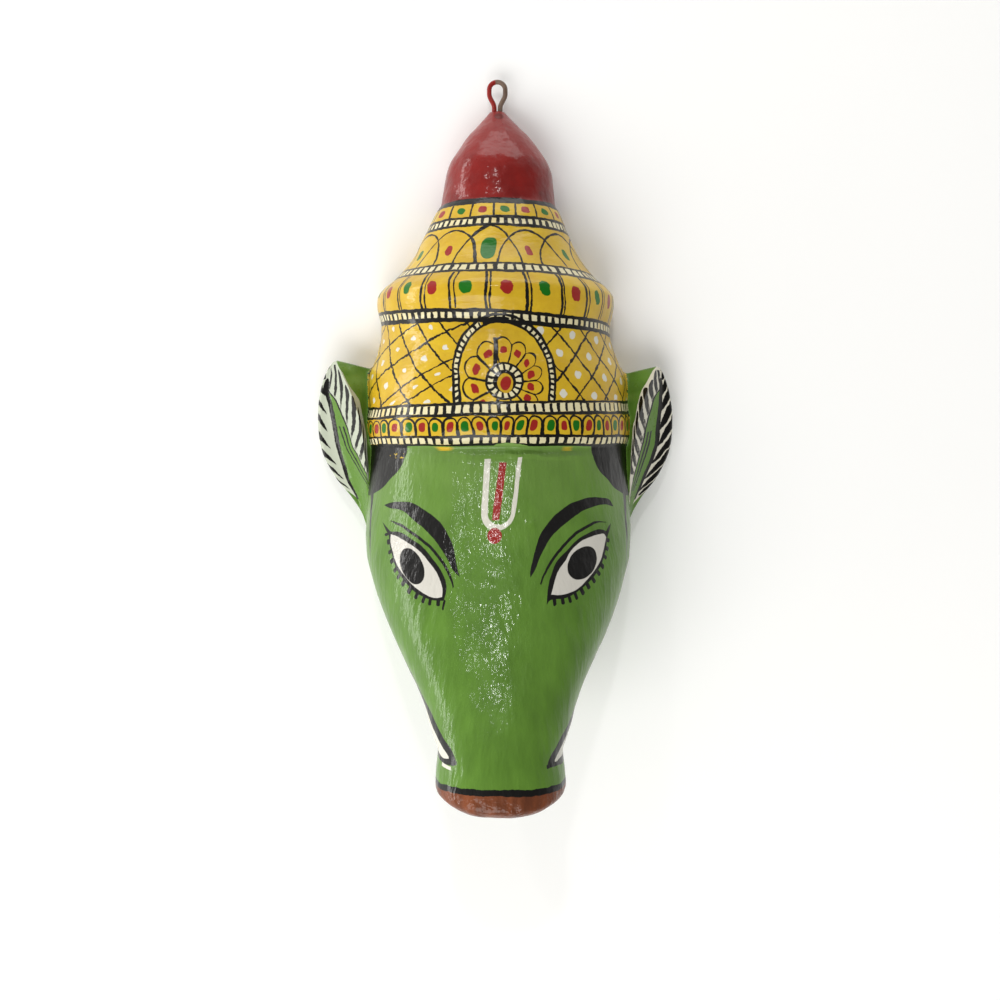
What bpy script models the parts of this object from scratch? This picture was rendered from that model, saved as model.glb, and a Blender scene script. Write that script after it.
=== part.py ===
"""A crowned animal-head mask of papier-mache, lying on its open back, with a hanging loop in its tip.

Metres, +Z up. The mask lies face up: +Y runs from the snout to the crown's tip, X is its width, and
the rim of the open back is the plane z = 0. The origin is on that plane, in the middle of the whole
length. Run it with: blender --background --python part.py
"""

import math

import bmesh
import bpy
from mathutils import Vector

# Driving sizes
MASK_HEIGHT = 0.254  # from the foot of the snout to the tip of the crown
HEAD_WIDTH = 0.1052  # over the crown's lower band
EAR_SPAN = 0.1397  # over both ears
MASK_DEPTH = 0.097  # from the rim to the bridge of the snout
WALL = 0.003  # papier-mache of the head
EAR_ROOT = 0.0841  # height of the ears' roots over the snout's foot
LEFT_EAR_LENGTH = 0.0702  # the hand-made ears differ a little; left is -X
RIGHT_EAR_LENGTH = 0.0680
EAR_WALL = 0.0028  # papier-mache of an ear
EAR_RISE = 0.028  # from the rim plane to the front fold of an ear
EAR_CUP = 0.0035  # how deep an ear's leaf is cupped

# The hanging loop
STRAND = 0.0019  # diameter of the painted wire
EYE_WIDTH = 0.0045  # inside the loop
EYE_LENGTH = 0.0074  # inside the loop
NECK_LENGTH = 0.0041  # from the crown's tip to the loop's eye
LEG_GAP = 0.0005  # between the two legs where they leave the crown
SOCKET_DEPTH = 0.007  # how far the legs go into the crown
SOCKET_CLEARANCE = 0.0003  # round the legs in their socket

# Fineness of the faceted solids
HEAD_SIDES = 60
CAVITY_SIDES = 32
RING_STEP = 0.006
CAVITY_STEP = 0.012
EAR_STATIONS = 17
EAR_STRIPS = 10
LOOP_BEND_POINTS = 16
LOOP_SIDES_SETTING = 3
SOCKET_SIDES = 16

# The head's form, from the snout's foot to the crown's tip. Each row: height as a share of
# MASK_HEIGHT, half width as a share of half HEAD_WIDTH, then the front, the widest level and the
# back (jaw) as shares of MASK_DEPTH, over the rim plane.
SNOUT = (
    (0.000, 0.350, 0.975, 0.785, 0.595),
    (0.004, 0.388, 0.990, 0.785, 0.575),
    (0.010, 0.407, 1.000, 0.780, 0.553),
    (0.022, 0.412, 1.000, 0.772, 0.520),
    (0.036, 0.413, 0.994, 0.764, 0.473),
    (0.060, 0.411, 0.982, 0.735, 0.405),
    (0.079, 0.445, 0.968, 0.700, 0.348),
    (0.098, 0.479, 0.950, 0.665, 0.292),
    (0.118, 0.510, 0.930, 0.628, 0.234),
    (0.138, 0.555, 0.908, 0.592, 0.176),
)
FACE = (
    (0.157, 0.608, 0.886, 0.557, 0.120),
    (0.197, 0.717, 0.843, 0.474, 0.004),
    (0.236, 0.817, 0.797, 0.392, -0.110),
    (0.276, 0.899, 0.752, 0.320, -0.220),
    (0.315, 0.955, 0.708, 0.262, -0.310),
    (0.354, 0.968, 0.668, 0.212, -0.360),
    (0.394, 0.968, 0.632, 0.168, -0.390),
    (0.433, 0.969, 0.600, 0.134, -0.400),
    (0.465, 0.970, 0.578, 0.112, -0.400),
    (0.474, 0.970, 0.572, 0.106, -0.400),
)
CROWN = (
    (0.4785, 0.981, 0.594, 0.104, -0.400),
    (0.488, 0.993, 0.610, 0.101, -0.400),
    (0.502, 1.000, 0.618, 0.099, -0.400),
    (0.516, 1.000, 0.618, 0.098, -0.400),
    (0.530, 0.984, 0.606, 0.096, -0.395),
    (0.551, 0.977, 0.592, 0.094, -0.390),
    (0.571, 0.973, 0.586, 0.092, -0.385),
    (0.591, 0.951, 0.574, 0.090, -0.380),
    (0.610, 0.911, 0.556, 0.088, -0.375),
    (0.630, 0.880, 0.542, 0.087, -0.370),
    (0.646, 0.865, 0.533, 0.086, -0.365),
    (0.661, 0.862, 0.534, 0.085, -0.360),
    (0.677, 0.880, 0.556, 0.084, -0.355),
    (0.693, 0.894, 0.574, 0.083, -0.350),
    (0.705, 0.890, 0.573, 0.083, -0.345),
    (0.717, 0.852, 0.553, 0.083, -0.340),
    (0.732, 0.768, 0.509, 0.083, -0.320),
    (0.748, 0.694, 0.468, 0.083, -0.300),
    (0.768, 0.626, 0.430, 0.083, -0.270),
    (0.787, 0.580, 0.403, 0.083, -0.250),
    (0.807, 0.538, 0.378, 0.083, -0.230),
    (0.827, 0.494, 0.354, 0.083, -0.210),
    (0.843, 0.452, 0.330, 0.083, -0.190),
)
DOME = (
    (0.850, 0.430, 0.318, 0.083, -0.180),
    (0.866, 0.419, 0.311, 0.083, -0.175),
    (0.882, 0.411, 0.307, 0.083, -0.170),
    (0.898, 0.402, 0.301, 0.082, -0.165),
    (0.913, 0.380, 0.289, 0.081, -0.155),
    (0.929, 0.338, 0.265, 0.079, -0.140),
    (0.945, 0.287, 0.236, 0.077, -0.120),
    (0.961, 0.228, 0.202, 0.075, -0.100),
    (0.972, 0.177, 0.171, 0.073, -0.085),
    (0.984, 0.126, 0.138, 0.071, -0.070),
    (0.993, 0.088, 0.114, 0.069, -0.060),
    (1.000, 0.060, 0.096, 0.067, -0.050),
)
HEAD_FORM = SNOUT + FACE + CROWN + DOME
SNOUT_LINE = 0.030  # share of the height where the nose pad's colour ends
CROWN_EDGE = 0.4765  # where the face ends and the crown begins
DOME_EDGE = 0.8465  # where the crown's bands end and the dome begins
CAVITY_TOP = 0.945  # share of the height where the hollow ends in solid paper

# Squareness of the sections: 2 is an ellipse, more is fuller at the corners
SNOUT_SQUARENESS = 2.35
CROWN_SQUARENESS = 2.0

# An ear's guide curves, from root to tip. Each row: share of the ears' reach beyond the head's
# widest half width, share of the ear's length, share of EAR_RISE.
EAR_EDGE = (
    (-0.15, 0.000, 0.61),
    (-0.02, 0.127, 0.54),
    (0.23, 0.235, 0.48),
    (0.60, 0.354, 0.43),
    (0.90, 0.499, 0.39),
    (1.00, 0.669, 0.39),
    (0.95, 0.825, 0.43),
    (0.81, 0.937, 0.50),
    (0.66, 0.995, 0.57),
)
EAR_FOLD = (
    (-0.21, 0.014, 0.68),
    (-0.13, 0.141, 0.75),
    (-0.12, 0.242, 0.84),
    (-0.12, 0.354, 0.93),
    (-0.06, 0.492, 0.98),
    (0.02, 0.655, 1.00),
    (0.23, 0.817, 0.91),
    (0.45, 0.929, 0.75),
    (0.57, 1.000, 0.62),
)
EAR_FOOT = (
    (-0.30, 0.022, 0.61),
    (-0.27, 0.141, 0.68),
    (-0.27, 0.242, 0.71),
    (-0.27, 0.354, 0.75),
    (-0.25, 0.485, 0.75),
    (-0.24, 0.640, 0.68),
    (-0.28, 0.788, 0.57),
    (-0.36, 0.882, 0.50),
    (-0.42, 0.944, 0.43),
)
EAR_RIB_AT_ROOT = 0.72  # where the leaf's mid rib lies between the edge and the fold
EAR_RIB_AT_TIP = 0.22

# Colours, as linear red, green and blue
BARE_PAPER = (0.36, 0.27, 0.17)
FACE_GREEN = (0.110, 0.235, 0.038)
CROWN_YELLOW = (0.640, 0.430, 0.035)
DOME_RED = (0.270, 0.018, 0.015)
NOSE_BROWN = (0.170, 0.060, 0.026)
LOOP_RED = (0.270, 0.030, 0.025)
PAINT_ROUGHNESS = 0.32
PAPER_ROUGHNESS = 0.9

LOOP_TOP = MASK_HEIGHT + NECK_LENGTH + EYE_LENGTH + STRAND
LOOP_RISE = HEAD_FORM[-1][3] * MASK_DEPTH  # the wire's centre, level with the middle of the tip
MIDDLE_HEIGHT = LOOP_TOP / 2  # the origin's height over the snout's foot
EAR_REACH = (EAR_SPAN - HEAD_WIDTH) / 2


def clear_scene():
    for thing in list(bpy.data.objects):
        bpy.data.objects.remove(thing)


def paint(name, colour, roughness):
    material = bpy.data.materials.new(name)
    material.use_nodes = True
    shader = material.node_tree.nodes["Principled BSDF"]
    shader.inputs["Base Color"].default_value = (*colour, 1.0)
    shader.inputs["Roughness"].default_value = roughness
    shader.inputs["Metallic"].default_value = 0.0
    material.diffuse_color = (*colour, 1.0)
    return material


def slopes(xs, ys):
    """Slopes of a curve through the points that never overshoots them."""
    gaps = [b - a for a, b in zip(xs, xs[1:])]
    rises = [(b - a) / gap for a, b, gap in zip(ys, ys[1:], gaps)]
    inner = []
    for before, after in zip(rises, rises[1:]):
        inner.append(0.0 if before * after <= 0 else 2 * before * after / (before + after))
    return [rises[0], *inner, rises[-1]]


FORM_HEIGHTS = [row[0] for row in HEAD_FORM]
FORM_COLUMNS = [[row[c] for row in HEAD_FORM] for c in range(1, 5)]
FORM_SLOPES = [slopes(FORM_HEIGHTS, column) for column in FORM_COLUMNS]


def form_at(share):
    """The four columns of the head's form at a share of the height."""
    share = min(max(share, FORM_HEIGHTS[0]), FORM_HEIGHTS[-1])
    row = max(i for i in range(len(FORM_HEIGHTS) - 1) if FORM_HEIGHTS[i] <= share)
    gap = FORM_HEIGHTS[row + 1] - FORM_HEIGHTS[row]
    t = (share - FORM_HEIGHTS[row]) / gap
    found = []
    for values, steep in zip(FORM_COLUMNS, FORM_SLOPES):
        start, end = values[row], values[row + 1]
        leave, arrive = steep[row] * gap, steep[row + 1] * gap
        found.append(
            start * (1 + 2 * t) * (1 - t) ** 2
            + leave * t * (1 - t) ** 2
            + end * t * t * (3 - 2 * t)
            - arrive * t * t * (1 - t)
        )
    return found


def head_section(height):
    """Half width, front, widest level and back of the head's skin, in metres."""
    half, front, level, back = form_at(height / MASK_HEIGHT)
    return half * HEAD_WIDTH / 2, front * MASK_DEPTH, level * MASK_DEPTH, back * MASK_DEPTH


def cavity_section(height):
    """The same of the hollow inside, a wall in from the thinnest skin close by."""
    near = [head_section(height + step) for step in (-WALL / 2, 0.0, WALL / 2)]
    half = min(section[0] for section in near) - WALL
    front = min(section[1] for section in near) - WALL
    back = max(section[3] for section in near) + WALL
    return half, front, near[1][2], back


def squareness(height):
    share = min(1.0, height / (CROWN_EDGE * MASK_HEIGHT))
    return SNOUT_SQUARENESS + (CROWN_SQUARENESS - SNOUT_SQUARENESS) * share


def section_point(section, angle, square):
    """A point on a section, where angle 0 is the +X side and a quarter turn is the front."""
    half, front, level, back = section
    across, up = math.cos(angle), math.sin(angle)
    x = half * math.copysign(abs(across) ** (2 / square), across)
    reach = front - level if up > 0 else level - back
    return x, level + reach * math.copysign(abs(up) ** (2 / square), up)


def along_y(height):
    return height - MIDDLE_HEIGHT


def ring_heights(low, high, step, stations):
    """The stations between low and high, and even steps in between where they lie far apart."""
    marks = sorted({low, high, *(h for h in stations if low < h < high)})
    heights = []
    for start, end in zip(marks, marks[1:]):
        parts = max(1, math.ceil((end - start) / step))
        heights += [start + (end - start) * i / parts for i in range(parts)]
    return [*heights, high]


def closed_tube(mesh, section_of, heights, sides):
    """A closed solid through level sections, capped at both ends."""
    bm = bmesh.new()
    rings = []
    for height in heights:
        section = section_of(height)
        square = squareness(height)
        ring = []
        for i in range(sides):
            x, z = section_point(section, math.tau * i / sides, square)
            ring.append(bm.verts.new((x, along_y(height), z)))
        rings.append(ring)
    for low, high in zip(rings, rings[1:]):
        for i in range(sides):
            j = (i + 1) % sides
            bm.faces.new((low[i], low[j], high[j], high[i]))
    bm.faces.new(rings[0])
    bm.faces.new(rings[-1])
    bmesh.ops.recalc_face_normals(bm, faces=bm.faces)
    bm.to_mesh(mesh)
    bm.free()


def add_object(name, data):
    thing = bpy.data.objects.new(name, data)
    bpy.context.scene.collection.objects.link(thing)
    return thing


def make_guide(thing):
    thing.hide_render = True
    thing.display_type = "WIRE"
    return thing


def combine(target, other, operation):
    """Joins a guide to the target or cuts it out, as a live Boolean."""
    modifier = target.modifiers.new(f"{operation.lower()} {other.name}", "BOOLEAN")
    modifier.operation = operation
    modifier.solver = "EXACT"
    modifier.object = make_guide(other)


def guide_curve(points, t, length):
    """A smooth curve through an ear's guide points, t from 0 at the root to 1 at the tip."""
    last = len(points) - 1
    i = min(int(t * last), last - 1)
    u = t * last - i
    p0, p1 = points[max(i - 1, 0)], points[i]
    p2, p3 = points[i + 1], points[min(i + 2, last)]
    place = []
    for a, b, c, d in zip(p0, p1, p2, p3):
        bend = (2 * a - 5 * b + 4 * c - d) * u + (3 * (b - c) + d - a) * u * u
        place.append(b + 0.5 * u * (c - a + bend))
    reach, run, rise = place
    return Vector((HEAD_WIDTH / 2 + reach * EAR_REACH, along_y(EAR_ROOT + run * length), rise * EAR_RISE))


def ear_front(t, length):
    """Points across the front of an ear, from its outer edge over the rib and the fold to its foot."""
    edge, fold, foot = (guide_curve(guide, t, length) for guide in (EAR_EDGE, EAR_FOLD, EAR_FOOT))
    rib = EAR_RIB_AT_ROOT + (EAR_RIB_AT_TIP - EAR_RIB_AT_ROOT) * t
    leaf_strips = EAR_STRIPS - 3
    points = []
    for i in range(leaf_strips + 1):
        u = i / leaf_strips
        cup = u / rib if u < rib else (1 - u) / (1 - rib)
        sink = EAR_CUP * math.sin(math.pi * t) * math.sin(cup * math.pi / 2)
        points.append(edge.lerp(fold, u) - Vector((0, 0, sink)))
    for i in range(1, EAR_STRIPS - leaf_strips + 1):
        points.append(fold.lerp(foot, i / (EAR_STRIPS - leaf_strips)))
    return points


def ear_mesh(name, side, length):
    """A closed leaf-shaped ear on one side: +1 is +X, -1 is -X."""
    bm = bmesh.new()
    loops = []
    for i in range(EAR_STATIONS):
        front = ear_front(i / (EAR_STATIONS - 1), length)
        back = [point - Vector((0, 0, EAR_WALL)) for point in front]
        outline = front + back[::-1]
        loops.append([bm.verts.new((side * p.x, p.y, p.z)) for p in outline])
    count = len(loops[0])
    for low, high in zip(loops, loops[1:]):
        for i in range(count):
            j = (i + 1) % count
            bm.faces.new((low[i], low[j], high[j], high[i]))
    for end in (loops[0], loops[-1]):
        for i in range(EAR_STRIPS):
            bm.faces.new((end[i], end[i + 1], end[-2 - i], end[-1 - i]))
    bmesh.ops.triangulate(bm, faces=bm.faces)
    bmesh.ops.recalc_face_normals(bm, faces=bm.faces)
    mesh = bpy.data.meshes.new(name)
    bm.to_mesh(mesh)
    bm.free()
    return mesh


def loop_line():
    """The wire's centre line, up one leg, round the eye and down the other, as points in the rim's plane."""
    wire_radius = STRAND / 2
    bend = EYE_WIDTH / 2 + wire_radius
    leg = LEG_GAP / 2 + wire_radius
    root = MASK_HEIGHT - SOCKET_DEPTH
    neck = MASK_HEIGHT + NECK_LENGTH * 0.35
    eye_low = MASK_HEIGHT + NECK_LENGTH + EYE_WIDTH / 2
    eye_high = MASK_HEIGHT + NECK_LENGTH + EYE_LENGTH - EYE_WIDTH / 2
    half = [(-leg, root), (-leg, MASK_HEIGHT), (-leg, neck)]
    for i in range(1, 4):
        ease = (1 - math.cos(math.pi * i / 4)) / 2
        half.append((-leg + (leg - bend) * ease, neck + (eye_low - neck) * i / 4))
    half.append((-bend, eye_low))
    arc = []
    for i in range(LOOP_BEND_POINTS + 1):
        turn = math.pi * (1 - i / LOOP_BEND_POINTS)
        arc.append((bend * math.cos(turn), eye_high + bend * math.sin(turn)))
    rising = [Vector((x, along_y(h), LOOP_RISE)) for x, h in half + arc[: LOOP_BEND_POINTS // 2]]
    crest = Vector((0, along_y(eye_high + bend), LOOP_RISE))
    falling = [Vector((-p.x, p.y, p.z)) for p in reversed(rising)]
    return [*rising, crest, *falling]


def hanging_loop():
    """The bent wire that the mask hangs by, with both legs set in the crown's tip."""
    curve = bpy.data.curves.new("hanging_loop", "CURVE")
    curve.dimensions = "3D"
    curve.bevel_depth = STRAND / 2
    curve.bevel_resolution = LOOP_SIDES_SETTING
    curve.use_fill_caps = True
    line = loop_line()
    spline = curve.splines.new("POLY")
    spline.points.add(len(line) - 1)
    for point, place in zip(spline.points, line):
        point.co = (*place, 1.0)
    curve.materials.append(paint("loop_red", LOOP_RED, PAINT_ROUGHNESS))
    return add_object("hanging_loop", curve)


def leg_socket():
    """The slot that both legs of the loop are set in, open at the crown's tip."""
    radius = STRAND / 2 + SOCKET_CLEARANCE
    spread = LEG_GAP / 2 + STRAND / 2
    outline = []
    for i in range(SOCKET_SIDES):
        turn = math.tau * (i + 0.5) / SOCKET_SIDES
        side = math.copysign(spread, math.cos(turn))
        outline.append((side + radius * math.cos(turn), LOOP_RISE + radius * math.sin(turn)))
    floor = along_y(MASK_HEIGHT - SOCKET_DEPTH - SOCKET_CLEARANCE)
    mouth = along_y(LOOP_TOP)  # well past the tip, so that the cut leaves no skin
    bm = bmesh.new()
    deep = [bm.verts.new((x, floor, z)) for x, z in outline]
    bm.faces.new(deep)
    open_end = [bm.verts.new((x, mouth, z)) for x, z in outline]
    bm.faces.new(open_end)
    for i in range(SOCKET_SIDES):
        j = (i + 1) % SOCKET_SIDES
        bm.faces.new((deep[i], deep[j], open_end[j], open_end[i]))
    bmesh.ops.recalc_face_normals(bm, faces=bm.faces)
    mesh = bpy.data.meshes.new("leg_socket")
    bm.to_mesh(mesh)
    bm.free()
    return add_object("leg_socket", mesh)


def colour_by_height(mesh):
    """Gives the head's faces the paint of their zone; material 0 is the bare paper inside."""
    for face in mesh.polygons:
        share = (face.center.y + MIDDLE_HEIGHT) / MASK_HEIGHT
        marks = (SNOUT_LINE, CROWN_EDGE, DOME_EDGE)
        face.material_index = 1 + sum(share > mark for mark in marks)


def mask():
    """The moulded shell: head, crown and ears in one, hollow and open at the back."""
    stations = [share * MASK_HEIGHT for share in FORM_HEIGHTS]
    mesh = bpy.data.meshes.new("mask")
    closed_tube(mesh, head_section, ring_heights(0.0, MASK_HEIGHT, RING_STEP, stations), HEAD_SIDES)
    bm = bmesh.new()
    bm.from_mesh(mesh)
    whole = [*bm.verts, *bm.edges, *bm.faces]
    cut = bmesh.ops.bisect_plane(bm, geom=whole, plane_co=(0, 0, 0), plane_no=(0, 0, 1), clear_inner=True)
    rim = [edge for edge in cut["geom_cut"] if isinstance(edge, bmesh.types.BMEdge)]
    bmesh.ops.contextual_create(bm, geom=rim)
    bmesh.ops.recalc_face_normals(bm, faces=bm.faces)
    bm.to_mesh(mesh)
    bm.free()
    for name, colour, roughness in (
        ("bare_paper", BARE_PAPER, PAPER_ROUGHNESS),
        ("nose_brown", NOSE_BROWN, PAINT_ROUGHNESS),
        ("face_green", FACE_GREEN, PAINT_ROUGHNESS),
        ("crown_yellow", CROWN_YELLOW, PAINT_ROUGHNESS),
        ("dome_red", DOME_RED, PAINT_ROUGHNESS),
    ):
        mesh.materials.append(paint(name, colour, roughness))
    colour_by_height(mesh)
    shell = add_object("mask", mesh)

    for side, name, length in ((1, "ear_right", RIGHT_EAR_LENGTH), (-1, "ear_left", LEFT_EAR_LENGTH)):
        ear = ear_mesh(name, side, length)
        for material in mesh.materials:
            ear.materials.append(material)
        for face in ear.polygons:
            face.material_index = 2
        combine(shell, add_object(name, ear), "UNION")

    hollow = bpy.data.meshes.new("cavity")
    heights = ring_heights(WALL, CAVITY_TOP * MASK_HEIGHT, CAVITY_STEP, [])
    closed_tube(hollow, cavity_section, heights, CAVITY_SIDES)
    hollow.materials.append(mesh.materials[0])
    combine(shell, add_object("cavity", hollow), "DIFFERENCE")
    combine(shell, leg_socket(), "DIFFERENCE")
    mesh.shade_smooth()
    mesh.set_sharp_from_angle(angle=math.radians(50))
    return shell


def main():
    clear_scene()
    mask()
    hanging_loop()


main()
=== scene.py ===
"""Dresses the crowned animal-head mask: moulded paper shell, ears, wire loop and all hand painting."""

import math

import bmesh
import bpy
import numpy as np
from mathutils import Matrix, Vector, kdtree, noise


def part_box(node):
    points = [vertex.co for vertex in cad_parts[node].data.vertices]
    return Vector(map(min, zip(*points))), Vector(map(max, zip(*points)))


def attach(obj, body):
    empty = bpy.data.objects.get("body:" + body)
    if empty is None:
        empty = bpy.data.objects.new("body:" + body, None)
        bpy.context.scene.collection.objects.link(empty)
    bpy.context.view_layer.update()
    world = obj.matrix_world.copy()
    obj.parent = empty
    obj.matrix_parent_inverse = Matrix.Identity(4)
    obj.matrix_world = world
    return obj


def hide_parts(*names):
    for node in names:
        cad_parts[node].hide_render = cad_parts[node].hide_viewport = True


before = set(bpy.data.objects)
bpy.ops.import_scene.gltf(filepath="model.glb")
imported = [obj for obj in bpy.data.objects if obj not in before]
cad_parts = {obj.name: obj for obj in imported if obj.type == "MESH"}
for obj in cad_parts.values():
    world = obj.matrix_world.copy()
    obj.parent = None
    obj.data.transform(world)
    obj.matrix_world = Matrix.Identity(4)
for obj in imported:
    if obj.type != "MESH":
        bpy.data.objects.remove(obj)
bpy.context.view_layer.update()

# Sizes of the mask, in millimetres; heights run from the snout's foot to the crown's tip
LENGTH = 254.0
WIDTH = 105.2
DEPTH = 97.0
WALL = 3.0
EAR_SPAN = 139.7
EAR_ROOT = 84.1
EAR_LENGTHS = {-1: 70.2, 1: 68.0}
EAR_WALL = 2.8
EAR_RISE = 28.0
EAR_CUP = 3.5
CROWN_EDGE = 120.9
DOME_EDGE = 214.6
MIDDLE = 1000 * -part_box("mask")[0].y

# Each row: height as a share of LENGTH, half width as a share of half WIDTH, then the front, the
# widest level and the back as shares of DEPTH
SNOUT = (
    (0.000, 0.350, 0.975, 0.785, 0.595),
    (0.004, 0.388, 0.990, 0.785, 0.575),
    (0.010, 0.407, 1.000, 0.780, 0.553),
    (0.022, 0.412, 1.000, 0.772, 0.520),
    (0.036, 0.413, 0.994, 0.764, 0.473),
    (0.060, 0.411, 0.982, 0.735, 0.405),
    (0.079, 0.445, 0.968, 0.700, 0.348),
    (0.098, 0.479, 0.950, 0.665, 0.292),
    (0.118, 0.510, 0.930, 0.628, 0.234),
    (0.138, 0.555, 0.908, 0.592, 0.176),
)
FACE = (
    (0.157, 0.608, 0.886, 0.557, 0.120),
    (0.197, 0.717, 0.843, 0.474, 0.004),
    (0.236, 0.817, 0.797, 0.392, -0.110),
    (0.276, 0.899, 0.752, 0.320, -0.220),
    (0.315, 0.955, 0.708, 0.262, -0.310),
    (0.354, 0.968, 0.668, 0.212, -0.360),
    (0.394, 0.968, 0.632, 0.168, -0.390),
    (0.433, 0.969, 0.600, 0.134, -0.400),
    (0.465, 0.970, 0.578, 0.112, -0.400),
    (0.474, 0.970, 0.572, 0.106, -0.400),
)
CROWN = (
    (0.4785, 0.981, 0.594, 0.104, -0.400),
    (0.488, 0.993, 0.610, 0.101, -0.400),
    (0.502, 1.000, 0.618, 0.099, -0.400),
    (0.516, 1.000, 0.618, 0.098, -0.400),
    (0.530, 0.984, 0.606, 0.096, -0.395),
    (0.551, 0.977, 0.592, 0.094, -0.390),
    (0.571, 0.973, 0.586, 0.092, -0.385),
    (0.591, 0.951, 0.574, 0.090, -0.380),
    (0.610, 0.911, 0.556, 0.088, -0.375),
    (0.630, 0.880, 0.542, 0.087, -0.370),
    (0.646, 0.865, 0.533, 0.086, -0.365),
    (0.661, 0.862, 0.534, 0.085, -0.360),
    (0.677, 0.880, 0.556, 0.084, -0.355),
    (0.693, 0.894, 0.574, 0.083, -0.350),
    (0.705, 0.890, 0.573, 0.083, -0.345),
    (0.717, 0.852, 0.553, 0.083, -0.340),
    (0.732, 0.768, 0.509, 0.083, -0.320),
    (0.748, 0.694, 0.468, 0.083, -0.300),
    (0.768, 0.626, 0.430, 0.083, -0.270),
    (0.787, 0.580, 0.403, 0.083, -0.250),
    (0.807, 0.538, 0.378, 0.083, -0.230),
    (0.827, 0.494, 0.354, 0.083, -0.210),
    (0.843, 0.452, 0.330, 0.083, -0.190),
)
DOME = (
    (0.850, 0.430, 0.318, 0.083, -0.180),
    (0.866, 0.419, 0.311, 0.083, -0.175),
    (0.882, 0.411, 0.307, 0.083, -0.170),
    (0.898, 0.402, 0.301, 0.082, -0.165),
    (0.913, 0.380, 0.289, 0.081, -0.155),
    (0.929, 0.338, 0.265, 0.079, -0.140),
    (0.945, 0.287, 0.236, 0.077, -0.120),
    (0.961, 0.228, 0.202, 0.075, -0.100),
    (0.972, 0.177, 0.171, 0.073, -0.085),
    (0.984, 0.126, 0.138, 0.071, -0.070),
    (0.993, 0.088, 0.114, 0.069, -0.060),
    (1.000, 0.060, 0.096, 0.067, -0.050),
)
FORM = np.array(SNOUT + FACE + CROWN + DOME) * (LENGTH, WIDTH / 2, DEPTH, DEPTH, DEPTH)

# An ear's guide lines from root to tip: shares of the reach beyond the head, of the ear's length
# and of its rise
EAR_EDGE = (
    (-0.15, 0.000, 0.61),
    (-0.02, 0.127, 0.54),
    (0.23, 0.235, 0.48),
    (0.60, 0.354, 0.43),
    (0.90, 0.499, 0.39),
    (1.00, 0.669, 0.39),
    (0.95, 0.825, 0.43),
    (0.81, 0.937, 0.50),
    (0.66, 0.995, 0.57),
)
EAR_FOLD = (
    (-0.21, 0.014, 0.68),
    (-0.13, 0.141, 0.75),
    (-0.12, 0.242, 0.84),
    (-0.12, 0.354, 0.93),
    (-0.06, 0.492, 0.98),
    (0.02, 0.655, 1.00),
    (0.23, 0.817, 0.91),
    (0.45, 0.929, 0.75),
    (0.57, 1.000, 0.62),
)
EAR_FOOT = (
    (-0.30, 0.022, 0.61),
    (-0.27, 0.141, 0.68),
    (-0.27, 0.242, 0.71),
    (-0.27, 0.354, 0.75),
    (-0.25, 0.485, 0.75),
    (-0.24, 0.640, 0.68),
    (-0.28, 0.788, 0.57),
    (-0.36, 0.882, 0.50),
    (-0.42, 0.944, 0.43),
)

# How far each ear's edge stands out more than the drawn one, and how the ear thins
EAR_SPREAD = {-1: 1.8, 1: -0.5}
EAR_RIB_AT_ROOT = 0.72
EAR_RIB_AT_TIP = 0.22
EAR_EDGE_SHARE = 0.09
EAR_TIP_SHARE = 0.035
EAR_THINNEST = 0.06

# The hanging loop, in millimetres
STRAND = 1.9
EYE_WIDTH = 4.5
EYE_LENGTH = 7.4
EYE_LIFT = 1.3
NECK_LENGTH = 4.1
LEG_GAP = 0.5
LOOP_RISE = DOME[-1][3] * DEPTH

# Grains and drips caught under the paint: run from the front line, height, size and rise
GRAINS_UNDER_PAINT = (
    (11.6, 93.6, 1.1, 0.9),
    (-9.0, 12.6, 0.7, 0.15),
    (15.5, 130.4, 0.9, 0.2),
    (3.0, 243.0, 1.0, 0.35),
)

# The shell's rounded rim, the edge of its last paper strip, and the filled seam between ear and head
RIM_ROUND = 1.25
PAPER_EDGE = 117.6
FILLET_REACH = 3.2
FILLET_PASSES = 14
FILLET_STRENGTH = 0.55

# The snout's foot: how far its sides rise, its middle drops and its corners spread, below a height
SNOUT_HALF = 20.0
SNOUT_ROUND = 3.4
SNOUT_DROP = 1.3
SNOUT_SPREAD = 0.05
SNOUT_BEND = 26.0

# Lumps of the moulded paper: how high, how wide, and where the pattern starts
SKIN_LUMPS = ((0.32, 17.0, 3.1), (0.14, 6.5, 8.7), (0.05, 2.6, 5.2))

# Sideways lean at each height
SWAY = (
    (0, 0.9), (45, 0.5), (80, 0.2), (125, 0.5), (165, -0.6), (185, -0.7), (215, 0.25), (228, 0.8), (242, 0.5),
    (254, 0.0),
)

# How finely the head and the hollow are drawn, and where the hollow ends
RIM_LEVELS = (0.12, 0.35, 0.7, 1.25)
SKIN_STEP = 0.86
SKIN_SIDES = 232
HOLLOW_RINGS = 120
HOLLOW_SIDES = 110
HOLLOW_END = 0.945 * LENGTH
CAP_RINGS = 9

# The camera, in millimetres, and the picture's pixel that it looks at
CAMERA_HEIGHT = 500.0
CAMERA_X = -2.5
CAMERA_LEVEL = 121.3
CENTRE_PIXEL = (491.0, 445.0)
MM_PER_PIXEL = 0.4052
PICTURE = 1000
SENSOR = 36.0

# How bright the room is, from under the table (-1) to straight overhead (1)
ROOM_BRIGHTNESS = (
    (-1.0, 0.7), (0.0, 1.15), (0.1, 0.95), (0.28, 0.45), (0.65, 0.36), (0.85, 0.3), (1.0, 0.28),
)
ROOM_WHITE = (1.0, 0.99, 0.97)

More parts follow.
